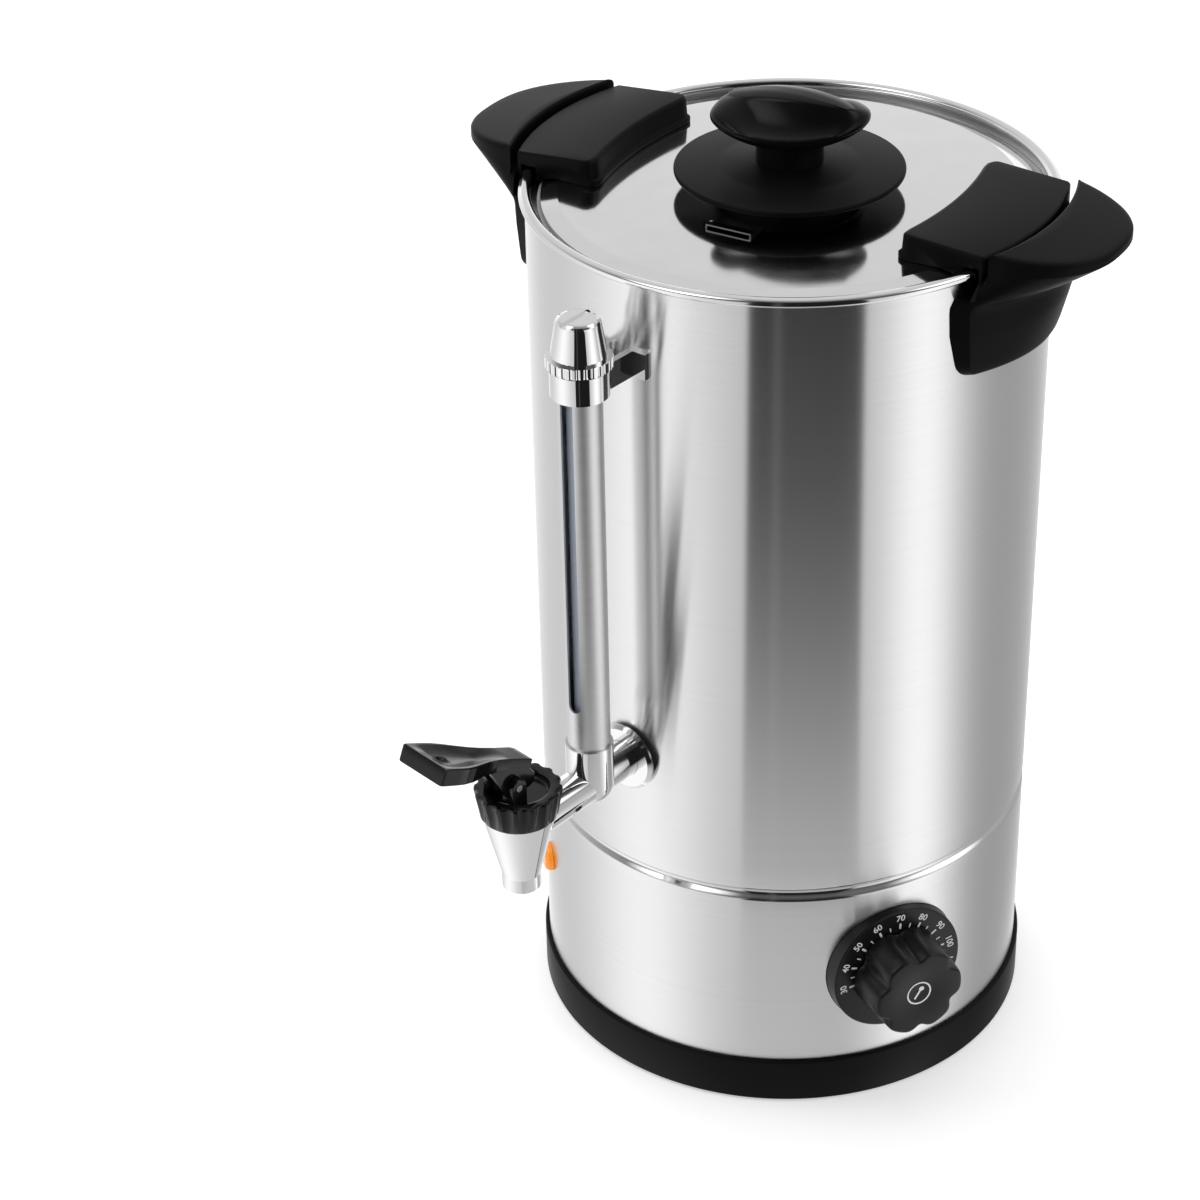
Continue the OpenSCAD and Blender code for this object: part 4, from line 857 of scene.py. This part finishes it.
cheek = np.concatenate([
    np.column_stack([cheek_r * np.cos(a1) - pivot - 0.6, cheek_r * np.sin(a1) - 0.2]),
    np.column_stack([hub_r * np.cos(a2), hub_r * np.sin(a2)]), tips,
]) + (pivot, pivot_z)
cheeks = (prism(cheek, slot_half, hub_half, 0.5), prism(cheek, -hub_half, -slot_half, 0.5))
points, faces = together(paddle, *cheeks)
lever = skin("thumb_lever", at_valve(points), faces, gloss_black)
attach(lever, "lever")
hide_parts("tap_lever")

# ---- Sight gauge ----
# Borosilicate tube between two rubber seals, inside a slotted satin-chromed shield that
# a clip holds to the wall, closed by a knurled chrome cap.
material = grained("satin_chrome", ((60, 60, 900), 3, 0.6), (0.84, 0.84, 0.845), (0.92, 0.92, 0.925),
                   roughness=(0.40, 0.08), bump=(0.00001, 0.2))
dress(material, "gauge_shield")
material = grained("gauge_glass", ((120, 120, 30), 3, 0.6), (0.56, 0.62, 0.74), (0.68, 0.74, 0.86),
                   roughness=(0.06, 0.04), bump=(0.00002, 0.1), metallic=0.0,
                   Transmission_Weight=0.35, IOR=1.47)
dress(material, "gauge_glass")

# ---- Lid ----
# Polished steel pan with a flat top and a sloping shoulder; a louvre pressed in its top
# lets steam out. A silicone ring seals it on the seat.
dress(polished_steel, "lid_pan")
silicone = moulded("silicone", (0.30, 0.30, 0.30), 0.6, 0.3)
dress(silicone, "lid_gasket", "handle_washers")

# ---- Knob shield ----
# Satin black phenolic disc on a collar that keeps the fingers off the hot lid. Its top
# rises gently to the grip's neck.
shield_r, collar_r, lid_top = 48.9, 31.0, 405.0
shield_low, shield_edge, shield_top, screw_hole_r = 412.5, 415.0, 418.0, 2.6
shield = turned("finger_shield", rounded([
    (screw_hole_r, lid_top, 0.2), (collar_r, lid_top, 0.4), (collar_r, shield_low, 1.4),
    (shield_r, shield_low, 1.0), (shield_r, shield_edge, 1.1), (30.0, 416.1, 30.0),
    (15.8, shield_top, 0.6), (screw_hole_r, shield_top, 0.3),
], 5), satin_black, 180)
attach(shield, "lid")
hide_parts("knob_shield")

# ---- Knob grip ----
# Black phenolic neck and a long oval grip with raised ends. A ridge set across its top
# falls to the ends, and each side is scooped below it down to a rounded lower rim.
knob_turn, ridge_turn = 37.0, np.radians(24)
neck_r, neck_bottom, grip_bottom, grip_height = 14.3, 418.0, 429.1, 18.9
grip_sides = 160
grip_long, grip_wide, ridge_long, ridge_wide = 33.5, 21.5, 26.0, 2.0
side_rim, end_rim, end_lift, length_fall = 5.2, 8.5, 4.5, 0.0058
knob_black = moulded("knob_black_plastic", (0.004, 0.004, 0.0041), 0.18, 0.16, 2600.0, 0.00001)
a = around(grip_sides)[None, :]
endness = np.cos(a) ** 2
s = np.linspace(0, 1, 40)[:, None]
ridge_x = ridge_long * np.cos(a) * np.cos(ridge_turn) + ridge_wide * np.sin(a) * np.sin(ridge_turn)
ridge_y = ridge_wide * np.sin(a) * np.cos(ridge_turn) - ridge_long * np.cos(a) * np.sin(ridge_turn)
plan_x = ridge_x + (grip_long * np.cos(a) - ridge_x) * s
plan_y = ridge_y + (grip_wide * np.sin(a) - ridge_y) * s
plateau = 0.30
t = np.clip((s - plateau) / (1 - plateau), 0, 1)
blend = np.clip((np.abs(np.cos(a)) - 0.45) / 0.5, 0, 1)
blend = blend ** 2 * (3 - 2 * blend)
fall = (1 - blend) * (1 - t) ** 2 + blend * np.sqrt(1 - t ** 2.0)
brim_top, brim_low = side_rim + (end_rim - side_rim) * endness, end_lift * endness
crown = grip_height - length_fall * (plan_x ** 2 + plan_y ** 2) - 0.7 * np.minimum(s / plateau, 1) ** 2
z = brim_top + (np.maximum(crown, brim_top) - brim_top) * fall
brim = np.array([  # share of the plan, share of the brim's height
    (1.0, 0.77), (0.993, 0.56), (0.972, 0.35), (0.935, 0.15), (0.88, 0.04), (0.82, 0.0), (0.62, 0.0),
])
neck_z = np.array([[0.4], [neck_bottom - grip_bottom]]) + 0 * a
x = np.concatenate([plan_x, grip_long * brim[:, :1] * np.cos(a), neck_r * np.cos(a) + np.zeros((2, 1))])
y = np.concatenate([plan_y, grip_wide * brim[:, :1] * np.sin(a), neck_r * np.sin(a) + np.zeros((2, 1))])
z = np.concatenate([z, brim_low + (brim_top - brim_low) * brim[:, 1:], neck_z]) + grip_bottom
flat_end = [list(range((x.shape[0] - 1) * grip_sides, x.shape[0] * grip_sides))]
middle = grip_sides // 2
top_row = [[i, i + 1, grip_sides - 1 - i, grip_sides - i] for i in range(1, middle - 1)]
top_row += [[0, 1, grip_sides - 1], [middle - 1, middle, middle + 1]]
grip = skin("knob_handle", facing(np.stack([x, y, z], -1), 90 + knob_turn),
            grid_faces(x.shape[0], grip_sides, wrap_rows=False) + flat_end + top_row, knob_black)
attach(grip, "lid")
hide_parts("knob_grip")

# ---- Lid grips ----
# Two black phenolic slabs riveted to the lid. Each bridges the rim, with a groove for
# the bead and a tongue that hangs outside it.
tongue_out_r, tongue_in_r, tongue_bottom = 117.2, 115.1, 398.0
lid_grip_depth, lid_grip_bow, lid_grip_half, bow_half = 43.0, 5.5, 42.0, 43.0
handle_turn = 9.0
both_sides = ((90 + handle_turn, "right"), (handle_turn - 90, "left"))
grip_top_in, grip_top_out, corner_round = 416.5, 414.0, 6.0
groove_in_r, lip_in_r, rest_out_r = 108.7, 105.7, 100.0
groove_top, lip_top, lip_low, rest_gap = 408.1, 403.7, 402.6, 0.05
flange_top, flange_side = 408.0, 407.2


def shrunk(corners, inward):
    """A closed outline, its inside on the left, with every side moved inwards by a distance."""
    c = np.asarray(corners, float)
    p = c[:, :2]
    on = np.roll(p, -1, 0) - p
    on = on / np.linalg.norm(on, axis=1, keepdims=True)
    left = np.column_stack([-on[:, 1], on[:, 0]])
    before = np.roll(left, 1, 0)
    moved = p + inward * (left + before) / (1 + (left * before).sum(1, keepdims=True))
    return np.column_stack([moved, c[:, 2]])


def lid_grip_section(v, inward):
    """The grip's outline as (outward, up) at an offset from its middle, eased by inward."""
    reach = np.sqrt(np.array([tongue_out_r, tongue_in_r, groove_in_r, lip_in_r, rest_out_r]) ** 2 - v * v)
    bend = max(abs(v) - (lid_grip_half - corner_round), 0.0)
    start = tongue_out_r - lid_grip_depth - lid_grip_bow * (v / bow_half) ** 2
    start += corner_round - np.sqrt(max(corner_round ** 2 - bend ** 2, 0.0))
    return rounded(shrunk([
        (start, lid_top + rest_gap, 0.5), (reach[4], lid_top + rest_gap, 0.3), (reach[3], lip_top, 0.3),
        (reach[3], lip_low, 0.2), (reach[2], lip_low, 0.2), (reach[2], groove_top, 1.0),
        (reach[1], groove_top, 0.6), (reach[1], tongue_bottom, 0.5), (reach[0], tongue_bottom, 0.5),
        (reach[0], grip_top_out, 1.6), (start + 2.2, grip_top_in, 2.2),
        (start + 1.5, flange_top, 0.5), (start, flange_side, 0.6),
    ], inward), 4)


ends = np.array([42.0, 41.82, 41.6, 41.3, 40.5])
eases = np.array([0.6, 0.3, 0.1, 0.0, 0.0])
v = np.concatenate([-ends, np.linspace(-38.5, 38.5, 23), ends[::-1]])
inward = np.concatenate([eases, np.zeros(23), eases[::-1]])
rings = np.stack([lid_grip_section(at, by) for at, by in zip(v, inward)])
count = rings.shape[1]
points = np.stack([rings[..., 0], v[:, None] + 0 * rings[..., 0], rings[..., 1]], -1)
caps = [list(range(count)), list(range((len(v) - 1) * count, len(v) * count))]
faces = grid_faces(len(v), count, wrap_rows=False) + caps
for azimuth, side in both_sides:
    slab = skin("lid_hand_grip_" + side, facing(points, azimuth), faces, satin_black)
    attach(slab, "lid")
    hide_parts("lid_grip_" + side)

# ---- Body handles ----
# Two black phenolic mouldings bolted to the wall: a skirt that lies against it below
# the rim, and a wing that reaches out over the skirt as the grip.
handle_bottom, skirt_end, crease_z, wing_low = 360.0, 400.5, 393.0, 407.7
handle_top, handle_fall = 416.0, 5.0 / 35.5
wing_half, wing_base, wing_reach = 43.0, 109.4, 41.1
wall_fit, relief_r, rim_clear_r = 112.12, 118.0, 120.0
foot_lift, skirt_base = 7.0, 107.2
skirt_levels = (handle_bottom, 380.5, skirt_end)
skirt_half, skirt_wall_half, skirt_reach = (44.0, 47.0, 48.0), (46.0, 50.5, 51.5), (12.0, 18.0, 20.0)


def handle_ring(z, inner_r, inward):
    """One level outline: across the front from side to side, then back along the wall.

    The front is base + reach (1 - |v|^(p+1))^(1/p) with v from -1 to 1; the skirt has p of
    1 and the wing 1.6, and between the crease and the wing's edge one flows into the other.
    """
    flow = np.clip((z - crease_z) / (wing_low - crease_z), 0, 1)
    out = flow ** 0.85
    foot = np.clip((z - handle_bottom) / foot_lift, 0, 1)
    lift = foot_lift * (1 - np.sqrt(1 - (1 - foot) ** 2))
    half = np.interp(z, skirt_levels, skirt_half) * (1 - flow) + wing_half * flow
    wall_half = np.interp(z, skirt_levels, skirt_wall_half) * (1 - flow) + wing_half * flow
    half, wall_half = half - lift - inward, wall_half - lift - inward
    v = np.sin(np.linspace(-np.pi / 2, np.pi / 2, 45))
    skirt = skirt_base + np.interp(z, skirt_levels, skirt_reach) * (1 - v ** 2)
    wing = wing_base + wing_reach * np.maximum(1 - np.abs(v) ** 2.6, 0) ** 0.625
    front_x = skirt * (1 - out) + wing * out - inward
    front_y = half * v
    inner = inner_r + 0.6 * inward
    side_x = np.maximum(np.sqrt(inner ** 2 - wall_half ** 2), 0)
    start_x = max(front_x[0], np.sqrt(inner ** 2 - half ** 2) + 0.2)
    front_x = np.maximum(front_x, np.sqrt(inner ** 2 - front_y ** 2) + 0.2)
    mix = np.array([0.0, 0.33, 0.67, 0.94])
    turn_x, turn_y = side_x + (start_x - side_x) * mix, (wall_half - half) * mix
    x = np.concatenate([turn_x, front_x, turn_x[::-1]])
    y = np.concatenate([-wall_half + turn_y, front_y, (wall_half - turn_y)[::-1]])
    back_y = np.linspace(wall_half, -wall_half, x.size)
    return np.concatenate([x, np.sqrt(inner ** 2 - back_y ** 2)]), np.concatenate([y, back_y])


levels = [(360.0, wall_fit, 1.4), (360.4, wall_fit, 0.6), (361.0, wall_fit, 0.2), (361.8, wall_fit, 0.0)]
for inner_r, heights in (
    (wall_fit, (363, 365, 367, 370, 374, 378, 381, 384, 388, 391, 393.5, 394.5, 395.3, 396.98)),
    (relief_r, (397, 398.5, 400, 401.5, 403.98)),
    (rim_clear_r, (404, 405, 406, 407, 407.7, 408.4, 409.4, 411.5, 413.8)),
):
    levels += [(z, inner_r, 0.0) for z in heights]
levels += [(z, rim_clear_r, inward) for z, inward in (
    (414.9, 0.25), (415.5, 0.7), (415.85, 1.3), (handle_top, 2.0),
)]


def lowered(points):
    """Points of the wing with its top sloping down outwards, and nothing moved below the wing."""
    p = np.array(points, float)
    slope = handle_fall * np.clip(np.hypot(p[..., 0], p[..., 1]) - rim_clear_r, 0, None)
    p[..., 2] -= slope * np.clip((p[..., 2] - wing_low) / (handle_top - wing_low), 0, 1)
    return p


rings = np.array([handle_ring(*level) for level in levels])
x, y = rings[:, 0], rings[:, 1]
z = np.array([level[0] for level in levels])[:, None]
points = np.stack([x, y, z + 0 * x], -1)
rows, count = x.shape
across = np.linspace(0, 1, 8)[1:-1, None, None]
front, back = points[-1, :count // 2], points[-1, count // 2:][::-1]
cap = np.concatenate([front[None], front[None] * (1 - across) + back[None] * across, back[None]])
floor_cap = np.stack([points[0, :count // 2], points[0, count // 2:][::-1]])
shape, faces = together(
    (points, grid_faces(rows, count, wrap_rows=False)),
    (cap, grid_faces(*cap.shape[:2], wrap_rows=False, wrap_columns=False)),
    (floor_cap, grid_faces(*floor_cap.shape[:2], wrap_rows=False, wrap_columns=False)),
)
for azimuth, side in both_sides:
    wing = skin("side_handle_" + side, facing(lowered(shape), azimuth), faces, satin_black)
    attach(wing, "urn")
    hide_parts("handle_" + side)
